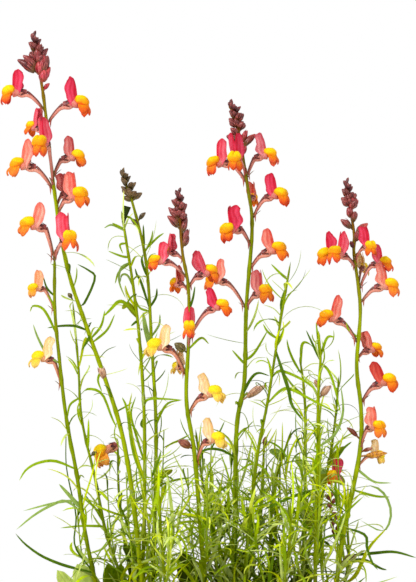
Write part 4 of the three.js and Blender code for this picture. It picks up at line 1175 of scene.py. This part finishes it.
def threadLeaves(random, line, radius, lowGap, highGap, scale=1.0):
    # Roots along a line of points, with one mean gap low down and another higher up, and a curved
    # leaf on each
    lengths = np.concatenate([[0], np.cumsum(np.linalg.norm(np.diff(line, axis=0), axis=1))])
    spots, spot = [], 1.0
    while spot < lengths[-1] - 3:
        height = np.interp(spot, lengths, line[:, 2])
        openness = float(smooth(height, thread["fadeFrom"], thread["fadeTo"]))
        spots.append(spot)
        spot += between((lowGap, highGap), openness) * random.uniform(0.4, 1.6)
    spots = np.array(spots)
    count = len(spots)
    roots = np.stack([np.interp(spots, lengths, line[:, k]) for k in range(3)], axis=1)
    openness = smooth(roots[:, 2], thread["fadeFrom"] - 20, thread["fadeTo"] + 20)
    vary = thread["turnVary"]
    turns = np.arange(count) * goldenTurn + random.uniform(-vary, vary, count) + random.uniform(0, 360)
    reaches = random.uniform(*thread["length"], count) * (1 - openness)
    reaches = reaches + random.uniform(*thread["upperLength"], count) * openness
    isLong = random.uniform(0, 1, count) < thread["longShare"]
    reaches = reaches * scale * np.where(isLong, thread["longer"], 1)
    rises = random.uniform(*thread["rise"], count)
    droops = random.uniform(*thread["droop"], count)
    sweeps = random.uniform(-thread["sweep"], thread["sweep"], count)
    ways = np.stack([np.cos(np.radians(turns)), np.sin(np.radians(turns)), 0 * turns], axis=1)
    roots = roots + ways * (radius - thread["sunk"])
    lines = archLines(roots, turns, reaches, rises, droops, sweeps)
    low = lines[:, :, 2].min(axis=1) < thread["lowest"]
    rises[low], droops[low] = thread["liftedRise"], thread["liftedDroop"]
    lines = archLines(roots, turns, reaches, rises, droops, sweeps)
    keep = lines[:, :, 2].min(axis=1) > thread["lowest"]
    lines, turns = lines[keep], turns[keep]
    sides = np.stack([-np.sin(np.radians(turns)), np.cos(np.radians(turns)), 0 * turns], axis=1)
    sides += random.uniform(-0.5, 0.5, sides.shape)
    low = 1 - smooth(lines[:, 0, 2], thread["fadeFrom"] - 10, thread["fadeTo"])
    widths = random.uniform(*thread["width"], len(lines)) * (1 + (thread["broader"] - 1) * low)
    widths = widths * (0.8 + 0.2 * scale)
    greens = np.array(leafGreens)[random.randint(0, len(leafGreens), len(lines))]
    greens = greens * random.uniform(*thread["greens"], (len(lines), 1))
    # Painted shade: leaves rooted low in the crowded mass are darker, and each leaf is darker at its foot
    # than at its tip
    deep = 0.8 + 0.2 * smooth(lines[:, 0, 2], 125, 170)[:, None]
    thick = np.full(len(lines), thread["thickness"])
    leaves = bladePart(lines, sides, widths, thick, greens * deep * 0.85, greens * (0.4 + 0.8 * deep), 1)
    return leaves, len(lines)


# Leaves that stand out from the rest: [stem, height of the root, width, green, how far the tip
# comes forward, points across and up as seen from the front]
tones = {
    "fresh": colour(148, 176, 8), "yellow": colour(196, 206, 6), "dark": colour(84, 118, 8),
    # pale is partly leaf colour and partly painted highlight on the blades; deep is painted shade, the tone
    # of the broad dark leaves set low at the back
    "grey": colour(150, 176, 92), "pale": colour(196, 214, 116), "olive": colour(132, 142, 4),
    "deep": colour(82, 100, 4),
}
singles = [
    ["b", 198, 1.5, "fresh", 4, [(-80, 200.5), (-88.5, 199.5), (-94.5, 196), (-98, 190.5)]],
    ["b", 176, 1.5, "grey", 8, [(-74.5, 180.5), (-82.5, 178), (-91, 173), (-99.5, 166)]],
    ["b", 181, 1.4, "grey", -6, [(-72.5, 180.5), (-82.5, 179), (-96, 175.5)]],
    ["b", 146, 1.6, "dark", 10, [(-72.5, 147.5), (-80, 150), (-87.5, 153.5), (-95, 159), (-100, 164.5)]],
    ["b", 178, 2.2, "grey", 3, [(-72.5, 183), (-78, 189)]],
    ["b", 150, 2.0, "pale", 3, [(-69, 157), (-64.5, 159)]],
    ["b", 264, 1.5, "fresh", 3, [(-83, 272), (-86.5, 277), (-91, 278), (-92.5, 275)]],
    ["b", 250, 1.4, "grey", -3, [(-84, 254), (-88.5, 262), (-91, 269)]],
    ["b", 272, 1.2, "fresh", 3, [(-81, 279), (-84, 284)]],
    ["b", 283, 1.2, "dark", 2, [(-84, 287), (-86, 293)]],
    ["a", 278, 1.4, "dark", 4, [(-65, 280), (-60, 292), (-63.5, 296), (-69, 299)]],
    ["a", 266, 1.4, "dark", 6, [(-70, 268), (-77.5, 268), (-84, 267)]],
    ["a", 264, 1.6, "dark", 3, [(-63, 262), (-66.5, 256)]],
    ["a", 258, 1.5, "yellow", -2, [(-64.5, 262), (-67, 252), (-68, 247)]],
    ["a", 247, 1.3, "fresh", 2, [(-58.5, 241), (-56.5, 235)]],
    ["a", 262, 1.4, "fresh", 4, [(-57, 268), (-55, 276)]],
    ["a", 260, 1.3, "fresh", -3, [(-54, 266), (-50, 274)]],
    ["b2", 232, 1.6, "fresh", 3, [(-63.5, 236.5), (-56.5, 234), (-51.5, 222), (-49, 217)]],
    ["b2", 231, 1.3, "fresh", -2, [(-72.5, 228.5), (-74, 221)]],
    ["b2", 166, 1.4, "fresh", 3, [(-60, 168), (-67.5, 168), (-77.5, 167)]],
    ["b2", 168, 1.5, "fresh", 4, [(-60, 177), (-66, 182)]],
    ["b2", 172, 1.3, "dark", 2, [(-61, 178), (-65.5, 184.5)]],
    ["b2", 158, 1.2, "pale", 3, [(-57.5, 156), (-70, 152.5)]],
    ["d", 316, 1.1, "fresh", 3, [(-49.5, 318.5), (-51.5, 319.5)]],
    ["d", 315, 1.1, "grey", 3, [(-51.5, 318.5), (-55.5, 317)]],
    ["d", 318, 1.3, "fresh", -3, [(-46, 321.5), (-43, 322.5), (-39.5, 319), (-37, 314)]],
    ["d", 309, 1.2, "fresh", 3, [(-47.5, 308.5), (-46, 304)]],
    ["d", 302, 1.3, "fresh", 4, [(-47, 303), (-53.5, 305.5)]],
    ["d", 299.5, 1.3, "grey", 4, [(-46.5, 297.5), (-48, 293.5), (-47.5, 288.5), (-44.5, 281.5)]],
    ["d", 299, 1.2, "fresh", -2, [(-48, 295), (-50, 289)]],
    ["d", 287, 1.3, "grey", 3, [(-43.5, 293), (-46.5, 293.5), (-47.5, 289.5)]],
    ["d", 277, 1.4, "yellow", 3, [(-43.5, 283.5), (-45, 288.5)]],
    ["d", 274, 2.0, "fresh", 6, [(-45, 279.5), (-48.5, 280), (-52, 276.5), (-56, 272.5)]],
    ["d", 273, 3.4, "olive", 2, [(-43.5, 278.5), (-46.5, 276.5)]],
    ["d", 271, 1.3, "dark", 3, [(-42, 268)]],
    ["d", 228, 1.4, "fresh", 4, [(-32.5, 231.5), (-16, 231)]],
    ["d", 190, 1.7, "fresh", 6, [(-41, 206), (-44, 226), (-46.5, 232.5)]],
    ["d", 192, 1.5, "yellow", 4, [(-40, 206), (-43, 224), (-41.5, 235)]],
    ["d", 200, 1.4, "fresh", -4, [(-39, 212), (-42, 224), (-39.5, 233)]],
    ["c", 305, 1.2, "fresh", 3, [(-32, 311), (-31, 316)]],
    ["c", 306, 1.2, "fresh", 5, [(-29, 312), (-25.5, 314.5)]],
    ["c", 292, 1.5, "dark", 4, [(-36.5, 300), (-36, 304)]],
    ["c", 276, 1.5, "dark", 5, [(-37, 290), (-39, 293.5), (-40, 297)]],
    ["c", 277, 1.4, "dark", 3, [(-29.5, 282.5), (-29, 287)]],
    ["c", 275, 1.3, "fresh", 4, [(-37.5, 277), (-39.5, 281)]],
    ["c", 262, 1.3, "grey", 3, [(-28, 268.5), (-27.5, 274)]],
    ["c", 254, 3.0, "grey", 0, [(-34.5, 266), (-36, 275)]],
    ["c", 215, 1.5, "fresh", 8, [(-29, 220), (-24, 229), (-16.5, 231)]],
    ["c", 187, 1.6, "grey", 8, [(-42.5, 178.5), (-48.5, 172), (-54, 165)]],
    ["c", 162, 1.4, "fresh", 6, [(-37.5, 164.5), (-47.5, 163.5), (-51.5, 161)]],
    ["c", 187, 4.5, "olive", 0, [(-27, 193), (-21, 196)]],
    ["c", 134, 2.2, "pale", 24, [(-33, 146), (-25, 152), (-12.5, 156)]],
    ["d", 132, 2.0, "pale", 16, [(-40, 146), (-32.5, 151), (-20, 153)]],
    ["e", 132, 2.0, "fresh", 20, [(-18, 150), (-25, 147), (-32, 139)]],
    ["e", 276, 1.3, "dark", 4, [(-11, 282), (-10, 288)]],
    ["e", 257, 1.3, "fresh", 3, [(-7, 262), (-3, 259)]],
    ["f", 140, 3.0, "pale", 14, [(2.5, 151), (-7.5, 165)]],
    ["f", 250, 1.5, "fresh", 4, [(20, 255), (26.5, 266)]],
    ["f", 248, 1.4, "fresh", -2, [(8.5, 256)]],
    ["f", 232, 1.6, "dark", 8, [(17.5, 241), (21.5, 244.5), (27.5, 243)]],
    ["f", 201, 1.5, "dark", 10, [(3, 206), (-5, 206), (-12, 200)]],
    ["f", 193, 1.6, "fresh", 12, [(18, 199), (24, 197), (30, 188)]],
    ["g", 243, 1.6, "fresh", 3, [(33, 245.5), (44, 241), (51.5, 235)]],
    ["g", 230, 1.7, "fresh", 6, [(32.5, 235.5), (37.5, 236.5), (48.5, 231), (63, 223.5)]],
    ["g", 256, 2.0, "dark", 4, [(36.5, 237), (38.5, 228.5), (44.5, 220)]],
    ["g", 262, 1.4, "fresh", 3, [(26.5, 265), (24, 269)]],
    ["g", 268, 1.3, "fresh", -3, [(33, 276)]],
    ["g", 258, 1.3, "fresh", 4, [(34.5, 267)]],
    ["g", 291, 1.4, "fresh", 3, [(32, 295), (28, 299)]],
    ["h", 248, 1.6, "fresh", 6, [(43.5, 258.5), (46.5, 259.5), (51.5, 255)]],
    ["h", 232, 1.4, "fresh", 4, [(39, 238), (34, 245)]],
    ["k", 252, 1.5, "fresh", 0, [(50.5, 270)]],
    ["k", 251, 1.4, "dark", 3, [(45.5, 266)]],
    ["k", 253, 1.5, "fresh", -3, [(56, 262), (60, 262.5)]],
    ["k", 250, 1.6, "fresh", 4, [(56.5, 246), (59.5, 238.5), (63, 223.5)]],
    ["k", 187, 1.7, "dark", 10, [(42.5, 184), (32.5, 180), (24, 176)]],
    ["k", 208, 1.6, "grey", -6, [(60, 214), (64, 225), (63, 238)]],
    ["l", 184, 2.0, "pale", 6, [(30, 179.5), (37.5, 173.5), (42.5, 166)]],
    ["i", 187, 1.5, "grey", 6, [(78.5, 188), (85, 183.5), (88, 175), (86, 167), (81.5, 166), (72.5, 171)]],
    ["i", 197, 1.4, "grey", 4, [(74, 194), (80, 190), (88.5, 189.5)]],
    ["i", 186.5, 1.4, "fresh", -4, [(80, 183), (87.5, 182.5)]],
    ["i", 168, 1.6, "dark", 6, [(75, 163.5), (76, 157), (78.5, 150), (81.5, 146)]],
    ["i", 262, 1.2, "fresh", 3, [(67, 266), (65.5, 270)]],
    ["j", 152, 1.7, "dark", 16, [(80, 154.5), (90, 155), (101, 152)]],
    ["j", 150, 1.5, "dark", 12, [(75, 151), (82.5, 147), (86, 146)]],
    ["j", 138, 2.2, "yellow", 20, [(70, 143), (74, 151), (78, 158.5), (86.5, 167.5)]],
    ["b", 124, 17, "pale", 6, [(-61, 131), (-65, 140), (-69, 149)]],
    ["b", 124, 12, "pale", 10, [(-63, 129), (-72, 136), (-79, 146)]],
    ["b2", 124, 13, "fresh", 16, [(-47, 131), (-52, 141), (-54, 149)]],
    ["b2", 124, 11, "fresh", 12, [(-45, 131), (-48, 141), (-47, 149)]],
    # A broad dark leaf low in the mass: painted shade
    ["r", 132, 8, "deep", 0, [(-40, 146), (-42, 154), (-46, 158.5)]],
    ["p", 160, 9, "olive", 2, [(50, 168), (45, 176), (43, 186)]],
    ["p", 188, 7.5, "olive", 2, [(55, 191), (47, 191)]],
    ["p", 190, 6, "olive", 0, [(61, 192), (65, 189)]],
    ["p", 196, 4.5, "olive", 3, [(60, 203), (65, 208)]],
    ["p", 192, 5, "grey", -4, [(46, 197), (40, 203)]],
    # Broad dark leaves low at the back, standing in for the shade between the stems: painted shade
    ["s", 165, 7, "deep", -4, [(5, 173), (7, 181)]],
    ["s", 126, 15, "deep", 4, [(8, 138), (15, 149), (17, 157)]],
    ["s", 125, 15, "deep", 2, [(-9, 136), (-14, 147), (-16, 155)]],
    ["l", 125, 13, "deep", -6, [(20, 134), (29, 144), (33, 152)]],
    ["q", 124, 12, "deep", 2, [(36, 132), (44, 141), (47, 149)]],
    ["q", 200, 5.5, "grey", -2, [(32, 204), (27, 206)]],
]
photo = {"centre": (-3.5, 285.5), "height": 291.0, "distance": 1500.0}


def asSeen(across, above, depth):
    # The place at a depth that shows at this spot in the front view
    grown = (photo["distance"] + depth) / photo["distance"]
    x, z = photo["centre"]
    return np.array([x + (across - x) * grown, depth, z + (above - z) * grown])


def singleLeaves(stem):
    rows = [row for row in singles if row[0] == stem["name"]]
    lines = []
    for _, height, _, _, forward, spots in rows:
        root = onStem(stem, height)
        line = [root]
        for number, (across, above) in enumerate(spots):
            line.append(asSeen(across, above, root[1] - forward * (number + 1) / len(spots)))
        lines.append(curveThrough(line, 14))
    sides = [unit(np.cross(line[-1] - line[0], [0.35, -1, 0.2])) for line in lines]
    widths = np.array([row[2] for row in rows], float)
    shades = np.array([tones[row[3]] for row in rows])
    thick = 0.3 + 0.1 * widths
    return bladePart(lines, np.array(sides), widths, thick, shades * 0.9, shades * 1.1, 1)


threadTotal = 0
for order, stem in enumerate(stems):
    random = np.random.RandomState(seedOf("threads", order))
    top = stem.get("spike", stem["route"][-1][2])
    line = np.array([onStem(stem, z) for z in np.arange(soil["level"] + 3.5, top, 3.0)])
    gaps = thread["lowGap"] / stem["leafy"][0], thread["highGap"] / stem["leafy"][1]
    part, count = threadLeaves(random, line, stem["radii"][0], *gaps)
    parts = [part]
    for line in shootLines[stem["name"]]:
        gap = thread["shootGap"] / stem["leafy"][0] ** 0.6
        gaps = gap, thread["shootUpperGap"]
        part, more = threadLeaves(random, line[2:], shootForm["radius"], *gaps, thread["shootScale"])
        parts.append(part)
        count += more
    if any(row[0] == stem["name"] for row in singles):
        parts.append(singleLeaves(stem))
    # Leaf parts take the second skin, as on the leafy stems, so it is given twice here
    makePiece("thread_leaves_" + stem["name"], parts, [leafSkin, leafSkin])
    threadTotal += count
print("thread leaves:", threadTotal)

# Stray flowers on the leafy stems: [stem, then the numbers and colours of a flower as above, then
# 1 where it has its upper lip]
strays = [
    ["j", 184, 238, 7, 9, -8, 0.78, 0, "crimson", 1],
    ["r", 206, 200, 1.0, 1, -35, 1.15, 0, "peach", 0],
]
# Seed pods and withered flowers: [stem, height, way, length, lean, radius, colours]
pods = [
    ["f", 229.5, 350, 14, 55, 1.9, beige], ["a", 240, 200, 9, 22, 1.7, beige],
    ["k", 232, 20, 9, 42, 1.7, beige], ["k", 236, 170, 6, 15, 1.2, beige],
    ["l", 205, 0, 7, 6, 1.2, dried], ["e", 208, 205, 9, 58, 1.9, dried],
    ["i", 211, 186, 9, 44, 1.2, dried], ["i", 150, 350, 9, 60, 1.4, oliveDry],
    ["e", 255, 200, 8, 50, 2.0, oliveDry], ["i", 203, 350, 13, 82, 1.4, withered],
    ["i", 205, 330, 7, 70, 1.0, dried], ["b2", 283, 200, 4, 30, 1.2, oliveDry],
    ["b2", 201, 10, 4, 50, 1.1, oliveDry],
]
# Twigs: [stem, height, radius, colour, points across and up as seen from the front, colours of the
# dry buds along it, if any]
twigs = [
    ["j", 148, 0.5, oliveStem, [(62, 158), (59, 168), (58, 182)], dried],
    ["b", 146, 0.5, tones["dark"], [(-70, 158), (-69.5, 173), (-73, 190), (-74.5, 200), (-74.5, 214)], None],
]
twigPoints = 24
twigBare = 9
cutTip = {
    "stem": "d", "height": 319, "step": (1, 0, 4), "radii": [0.8, 1.2, 1.9], "colour": colour(44, 58, 16),
}
byName = {stem["name"]: stem for stem in stems}
parts = []
draw = randomRun(seedOf("strays"))
for name, *row in strays:
    place, look = flowerAt(byName[name], row), petals[row[7]]
    parts += [stalkPart(place, look)] + ([upperLip(place, look, draw)] if row[8] else [])
    parts += tubeAndSpur(place, look) + calyx(place, draw) + lowerLipParts(place, look, 0, draw)
for name, height, turn, length, lean, radius, tints in pods:
    parts += budParts(onStem(byName[name], height), turn, length, lean, radius, draw, 0, tints, 0.3)
for name, height, radius, shade, spots, tints in twigs:
    root = onStem(byName[name], height)
    line = curveThrough([root] + [asSeen(*spot, root[1] - 3) for spot in spots], twigPoints)
    parts.append(tubePart(line, np.linspace(radius, 0.25, twigPoints), 7, outward(0), shade, stemPart))
    if tints:
        for number in range(twigBare, twigPoints):
            turn, lean = goldenTurn * number, 25 + 30 * draw()
            parts += budParts(line[number], turn, 3.5 + 2 * draw(), lean, 0.8 + 0.5 * draw(), draw, 0, tints)
tip = onStem(byName[cutTip["stem"]], cutTip["height"])
line = [tip + np.array(cutTip["step"]) * number for number in range(3)]
parts.append(tubePart(line, cutTip["radii"], 10, outward(0), cutTip["colour"], stemPart))
makePiece("stray_flowers", parts, flowerSkins)

# The pot: modelled as a potter's wheel would turn it
clay = {
    "sides": 128, "drainCount": 3, "drainRadius": 5, "drainCircle": 30, "drainTurn": 30,
    "bevel": 0.9, "drillSides": 32, "drillDepth": 30,
    "dark": colour(164, 84, 52), "light": colour(198, 116, 76), "bloom": colour(222, 178, 146),
    "profile": [(50.5, 0), (52, 1.5), (71, 104), (74.2, 104.8), (75, 107), (75, 126.5),
                (73.5, 128), (71, 128), (69.5, 126.5), (48, 5)],
}


def modelPot():
    bpy.ops.object.select_all(action="DESELECT")
    radius, height = clay["profile"][0]
    bpy.ops.mesh.primitive_circle_add(vertices=clay["sides"], radius=radius * mm, fill_type="NGON")
    pot = bpy.context.object
    bpy.ops.object.mode_set(mode="EDIT")
    bpy.ops.mesh.select_mode(type="FACE")
    bpy.ops.mesh.select_all(action="SELECT")
    for nextRadius, nextHeight in clay["profile"][1:]:
        lift = (0, 0, (nextHeight - height) * mm)
        bpy.ops.mesh.extrude_region_move(TRANSFORM_OT_translate={"value": lift})
        grow = nextRadius / radius
        bpy.ops.transform.resize(value=(grow, grow, 1), center_override=(0, 0, nextHeight * mm))
        radius, height = nextRadius, nextHeight
    bpy.ops.mesh.select_all(action="SELECT")
    bpy.ops.mesh.normals_make_consistent(inside=False)
    bpy.ops.object.mode_set(mode="OBJECT")
    for number in range(clay["drainCount"]):
        spot = outward(clay["drainTurn"] + 360 * number / clay["drainCount"]) * clay["drainCircle"] * mm
        bpy.ops.object.select_all(action="DESELECT")
        bpy.ops.mesh.primitive_cylinder_add(vertices=clay["drillSides"], radius=clay["drainRadius"] * mm,
                                            depth=clay["drillDepth"] * mm, location=(spot[0], spot[1], 0))
        drill = bpy.context.object
        hole = pot.modifiers.new("hole", "BOOLEAN")
        hole.operation = "DIFFERENCE"
        hole.object = drill
        applyAll(pot)
        bpy.data.objects.remove(drill)
    rounding = pot.modifiers.new("round", "BEVEL")
    rounding.width = clay["bevel"] * mm
    rounding.segments = 3
    rounding.limit_method = "ANGLE"
    rounding.angle_limit = math.radians(35)
    applyAll(pot)
    for face in pot.data.polygons:
        face.use_smooth = True
    pot.data.set_sharp_from_angle(angle=math.radians(40))
    return pot


def claySkin():
    material, tree, shader, link = newSkin("clay_skin")
    place = addNode(tree, "ShaderNodeTexCoord", (-1500, 0))
    cloud = addNode(tree, "ShaderNodeTexNoise", (-1200, 300), {"Scale": 22, "Detail": 5})
    link(place.outputs["Object"], cloud.inputs["Vector"])
    body = addNode(tree, "ShaderNodeValToRGB", (-950, 300))
    setRamp(body, (0.32, clay["dark"]), (0.68, clay["light"]))
    link(cloud.outputs["Fac"], body.inputs["Fac"])
    squash = addNode(tree, "ShaderNodeMapping", (-1350, -100), {"Scale": (1, 1, 5)})
    link(place.outputs["Object"], squash.inputs["Vector"])
    lime = addNode(tree, "ShaderNodeTexNoise", (-1200, 0), {"Scale": 34, "Detail": 6, "Roughness": 0.65})
    link(squash.outputs["Vector"], lime.inputs["Vector"])
    bloom = addNode(tree, "ShaderNodeMapRange", (-950, 0), {
        "From Min": 0.55, "From Max": 0.8, "To Max": 0.35,
    })
    link(lime.outputs["Fac"], bloom.inputs["Value"])
    dusted = addNode(tree, "ShaderNodeMix", (-600, 250), data_type="RGBA")
    link(bloom.outputs["Result"], dusted.inputs["Factor"])
    link(body.outputs["Color"], dusted.inputs["A"])
    dusted.inputs["B"].default_value = (*clay["bloom"], 1)
    speck = addNode(tree, "ShaderNodeTexVoronoi", (-1200, -300), {"Scale": 900})
    link(place.outputs["Object"], speck.inputs["Vector"])
    pit = addNode(tree, "ShaderNodeMapRange", (-950, -300), {
        "From Min": 0.05, "From Max": 0.25, "To Min": 0.78,
    })
    link(speck.outputs["Distance"], pit.inputs["Value"])
    dotted = multiplied(tree, (-350, 250))
    link(dusted.outputs["Result"], dotted.inputs["A"])
    link(pit.outputs["Result"], dotted.inputs["B"])
    link(dotted.outputs["Result"], shader.inputs["Base Color"])
    turning = addNode(tree, "ShaderNodeTexWave", (-1200, -600), {
        "Scale": 160, "Distortion": 0.6,
    }, bands_direction="Z")
    link(place.outputs["Object"], turning.inputs["Vector"])
    sand = addNode(tree, "ShaderNodeTexNoise", (-1200, -850), {"Scale": 1500})
    link(place.outputs["Object"], sand.inputs["Vector"])
    relief = addNode(tree, "ShaderNodeMath", (-900, -600), {1: 0.35}, operation="MULTIPLY_ADD")
    link(turning.outputs["Fac"], relief.inputs[0])
    link(sand.outputs["Fac"], relief.inputs[2])
    bump = addNode(tree, "ShaderNodeBump", (-600, -500), {"Strength": 0.35, "Distance": 0.0004})
    link(relief.outputs["Value"], bump.inputs["Height"])
    link(bump.outputs["Normal"], shader.inputs["Normal"])
    setInputs(shader, {"Roughness": 0.86, "Specular IOR Level": 0.25})
    return material


pot = modelPot()
pot.name = "clay_pot"
pot.data.materials.append(claySkin())
dress(pot, ["pot"])
print("pot made")


# The soil: a crumbly heap filling the pot, with crumbs and bits of bark lying on it
def soilSkin():
    material, tree, shader, link = newSkin("soil_skin")
    place = addNode(tree, "ShaderNodeTexCoord", (-1200, 0))
    clod = addNode(tree, "ShaderNodeTexVoronoi", (-950, 100), {"Scale": 420})
    link(place.outputs["Object"], clod.inputs["Vector"])
    peat = addNode(tree, "ShaderNodeTexNoise", (-950, -150), {"Scale": 260, "Detail": 6})
    link(place.outputs["Object"], peat.inputs["Vector"])
    body = addNode(tree, "ShaderNodeValToRGB", (-650, 0))
    setRamp(body, (0.35, soil["dark"]), (0.75, soil["light"]))
    link(peat.outputs["Fac"], body.inputs["Fac"])
    tint = addNode(tree, "ShaderNodeAttribute", (-650, 300), attribute_name="tint")
    blend = multiplied(tree, (-350, 150))
    link(body.outputs["Color"], blend.inputs["A"])
    link(tint.outputs["Color"], blend.inputs["B"])
    link(blend.outputs["Result"], shader.inputs["Base Color"])
    bump = addNode(tree, "ShaderNodeBump", (-350, -250), {"Strength": 0.8, "Distance": 0.001})
    link(clod.outputs["Distance"], bump.inputs["Height"])
    link(bump.outputs["Normal"], shader.inputs["Normal"])
    shader.inputs["Roughness"].default_value = 0.95
    return material


def heapPart():
    # Rings of points from the middle outwards, then down the wall and back across the bottom
    rings, sides = soil["rings"], soil["sides"]
    angle = 2 * np.pi * np.arange(sides) / sides
    radii = soil["topRadius"] * (np.arange(1, rings + 1) / rings) ** 0.8
    points = [[0, 0, soil["level"]]]
    for radius in radii:
        sink = soil["edge"] * float(smooth(radius / soil["topRadius"], 0.9, 1))
        for a in angle:
            x, y = radius * math.cos(a), radius * math.sin(a)
            bump = noise.noise((x * 0.09, y * 0.09, 3)) + 0.7 * noise.noise((x * 0.35, y * 0.35, 7))
            bump = bump + 0.5 * noise.noise((x * 0.9, y * 0.9, 1))
            points.append([x, y, soil["level"] - 0.4 - sink + bump * soil["bump"]])
    foot = soil["footRadius"]
    points += [[foot * math.cos(a), foot * math.sin(a), soil["bottom"]] for a in angle]
    points.append([0, 0, soil["bottom"]])
    k = np.arange(sides)
    after = (k + 1) % sides
    tris = [np.stack([0 * k, 1 + k, 1 + after], axis=1)]
    last = len(points) - 1
    tris.append(np.stack([0 * k + last, last - sides + after, last - sides + k], axis=1))
    quads = [
        np.stack([1 + r * sides + k, 1 + (r + 1) * sides + k, 1 + (r + 1) * sides + after,
                  1 + r * sides + after], axis=1)
        for r in range(rings)
    ]
    return partOf(points, np.concatenate(quads), np.concatenate(tris), np.ones(3))


def crumbParts(count):
    bpy.ops.object.select_all(action="DESELECT")
    bpy.ops.mesh.primitive_ico_sphere_add(subdivisions=2, radius=1)
    points, quads, tris = takeShape(bpy.context.object)
    random = np.random.RandomState(seedOf("crumbs"))
    parts = []
    for number in range(count):
        away = soil["crumbReach"] * math.sqrt(random.uniform(0, 1))
        spot = outward(random.uniform(0, 360)) * away
        size = random.uniform(*soil["crumbSize"])
        size = size * np.array([1, random.uniform(0.7, 1), random.uniform(0.5, 0.8)])
        wobble = 1 + 0.25 * np.array([noise.noise((*(each * 1.4 + number),)) for each in points])
        turn = random.uniform(0, math.pi)
        shape = points * wobble[:, None] * size
        x = shape[:, 0] * math.cos(turn) - shape[:, 1] * math.sin(turn)
        y = shape[:, 0] * math.sin(turn) + shape[:, 1] * math.cos(turn)
        height = soil["level"] - 0.3 - (soil["edge"] if away > soil["wallReach"] else 0)
        shape = np.stack([x, y, shape[:, 2]], axis=1) + spot + up * height
        shade = np.ones(3) * random.uniform(*soil["crumbShade"])
        if random.uniform(0, 1) < soil["barkShare"]:
            shade = np.array(soil["barkShade"])
        parts.append(partOf(shape, quads, tris, shade))
    return parts


makePiece("crumbly_soil", [heapPart()] + crumbParts(soil["crumbs"]), [soilSkin()], ["soil"],
          sharpAngle=70)
print("soil made")

# Light, floor and camera: each lamp is [name, place, size, watts]
studio = {
    "worldLight": 0.68, "aim": (0, 0, 0.27), "floorRadius": 1.3, "floorDrop": 0.0005,
    "filmWidth": 36,
    "lamps": [["key", (-0.9, -1.2, 1.1), 0.5, 18.0], ["fill", (1.1, -0.9, 0.6), 0.9, 3.0]],
}
bpy.ops.object.select_all(action="DESELECT")
bpy.ops.mesh.primitive_circle_add(vertices=96, radius=studio["floorRadius"], fill_type="NGON",
                                  location=(0, 0, -studio["floorDrop"]))
floor = bpy.context.object
floor.name = "floor"
ground = bpy.data.materials.new("floor_paint")
ground.use_nodes = True
paint = ground.node_tree.nodes["Principled BSDF"]
setInputs(paint, {"Base Color": (0.86, 0.86, 0.85, 1), "Roughness": 0.7})
floor.data.materials.append(ground)
camera = bpy.data.cameras.new("camera")
camera.sensor_width = studio["filmWidth"]
camera.lens = studio["filmWidth"] * photo["distance"] / photo["height"]
camera.clip_end = 50
cameraObject = bpy.data.objects.new("camera", camera)
cameraObject.location = (photo["centre"][0] * mm, -photo["distance"] * mm, photo["centre"][1] * mm)
cameraObject.rotation_euler = (math.radians(90), 0, 0)
scene.collection.objects.link(cameraObject)
scene.camera = cameraObject

world = bpy.data.worlds.new("studio")
scene.world = world
world.use_nodes = True
tree = world.node_tree
seen = addNode(tree, "ShaderNodeBackground", (-200, 200), {"Color": (1, 1, 1, 1), "Strength": 1.0})
lit = tree.nodes["Background"]
setInputs(lit, {"Color": (1, 1, 1, 1), "Strength": studio["worldLight"]})
which = addNode(tree, "ShaderNodeLightPath", (-400, 400))
blend = addNode(tree, "ShaderNodeMixShader", (0, 200))
tree.links.new(which.outputs["Is Camera Ray"], blend.inputs["Fac"])
tree.links.new(lit.outputs["Background"], blend.inputs[1])
tree.links.new(seen.outputs["Background"], blend.inputs[2])
tree.links.new(blend.outputs["Shader"], tree.nodes["World Output"].inputs["Surface"])
scene.view_settings.view_transform = "Standard"

for name, place, size, power in studio["lamps"]:
    light = bpy.data.lights.new(name, "AREA")
    light.size = size
    light.energy = power
    lamp = bpy.data.objects.new(name, light)
    lamp.location = place
    direction = np.array(studio["aim"]) - np.array(place)
    lamp.rotation_euler = (
        math.atan2(math.hypot(direction[0], direction[1]), -direction[2]),
        0,
        math.atan2(direction[1], direction[0]) - math.pi / 2,
    )
    scene.collection.objects.link(lamp)
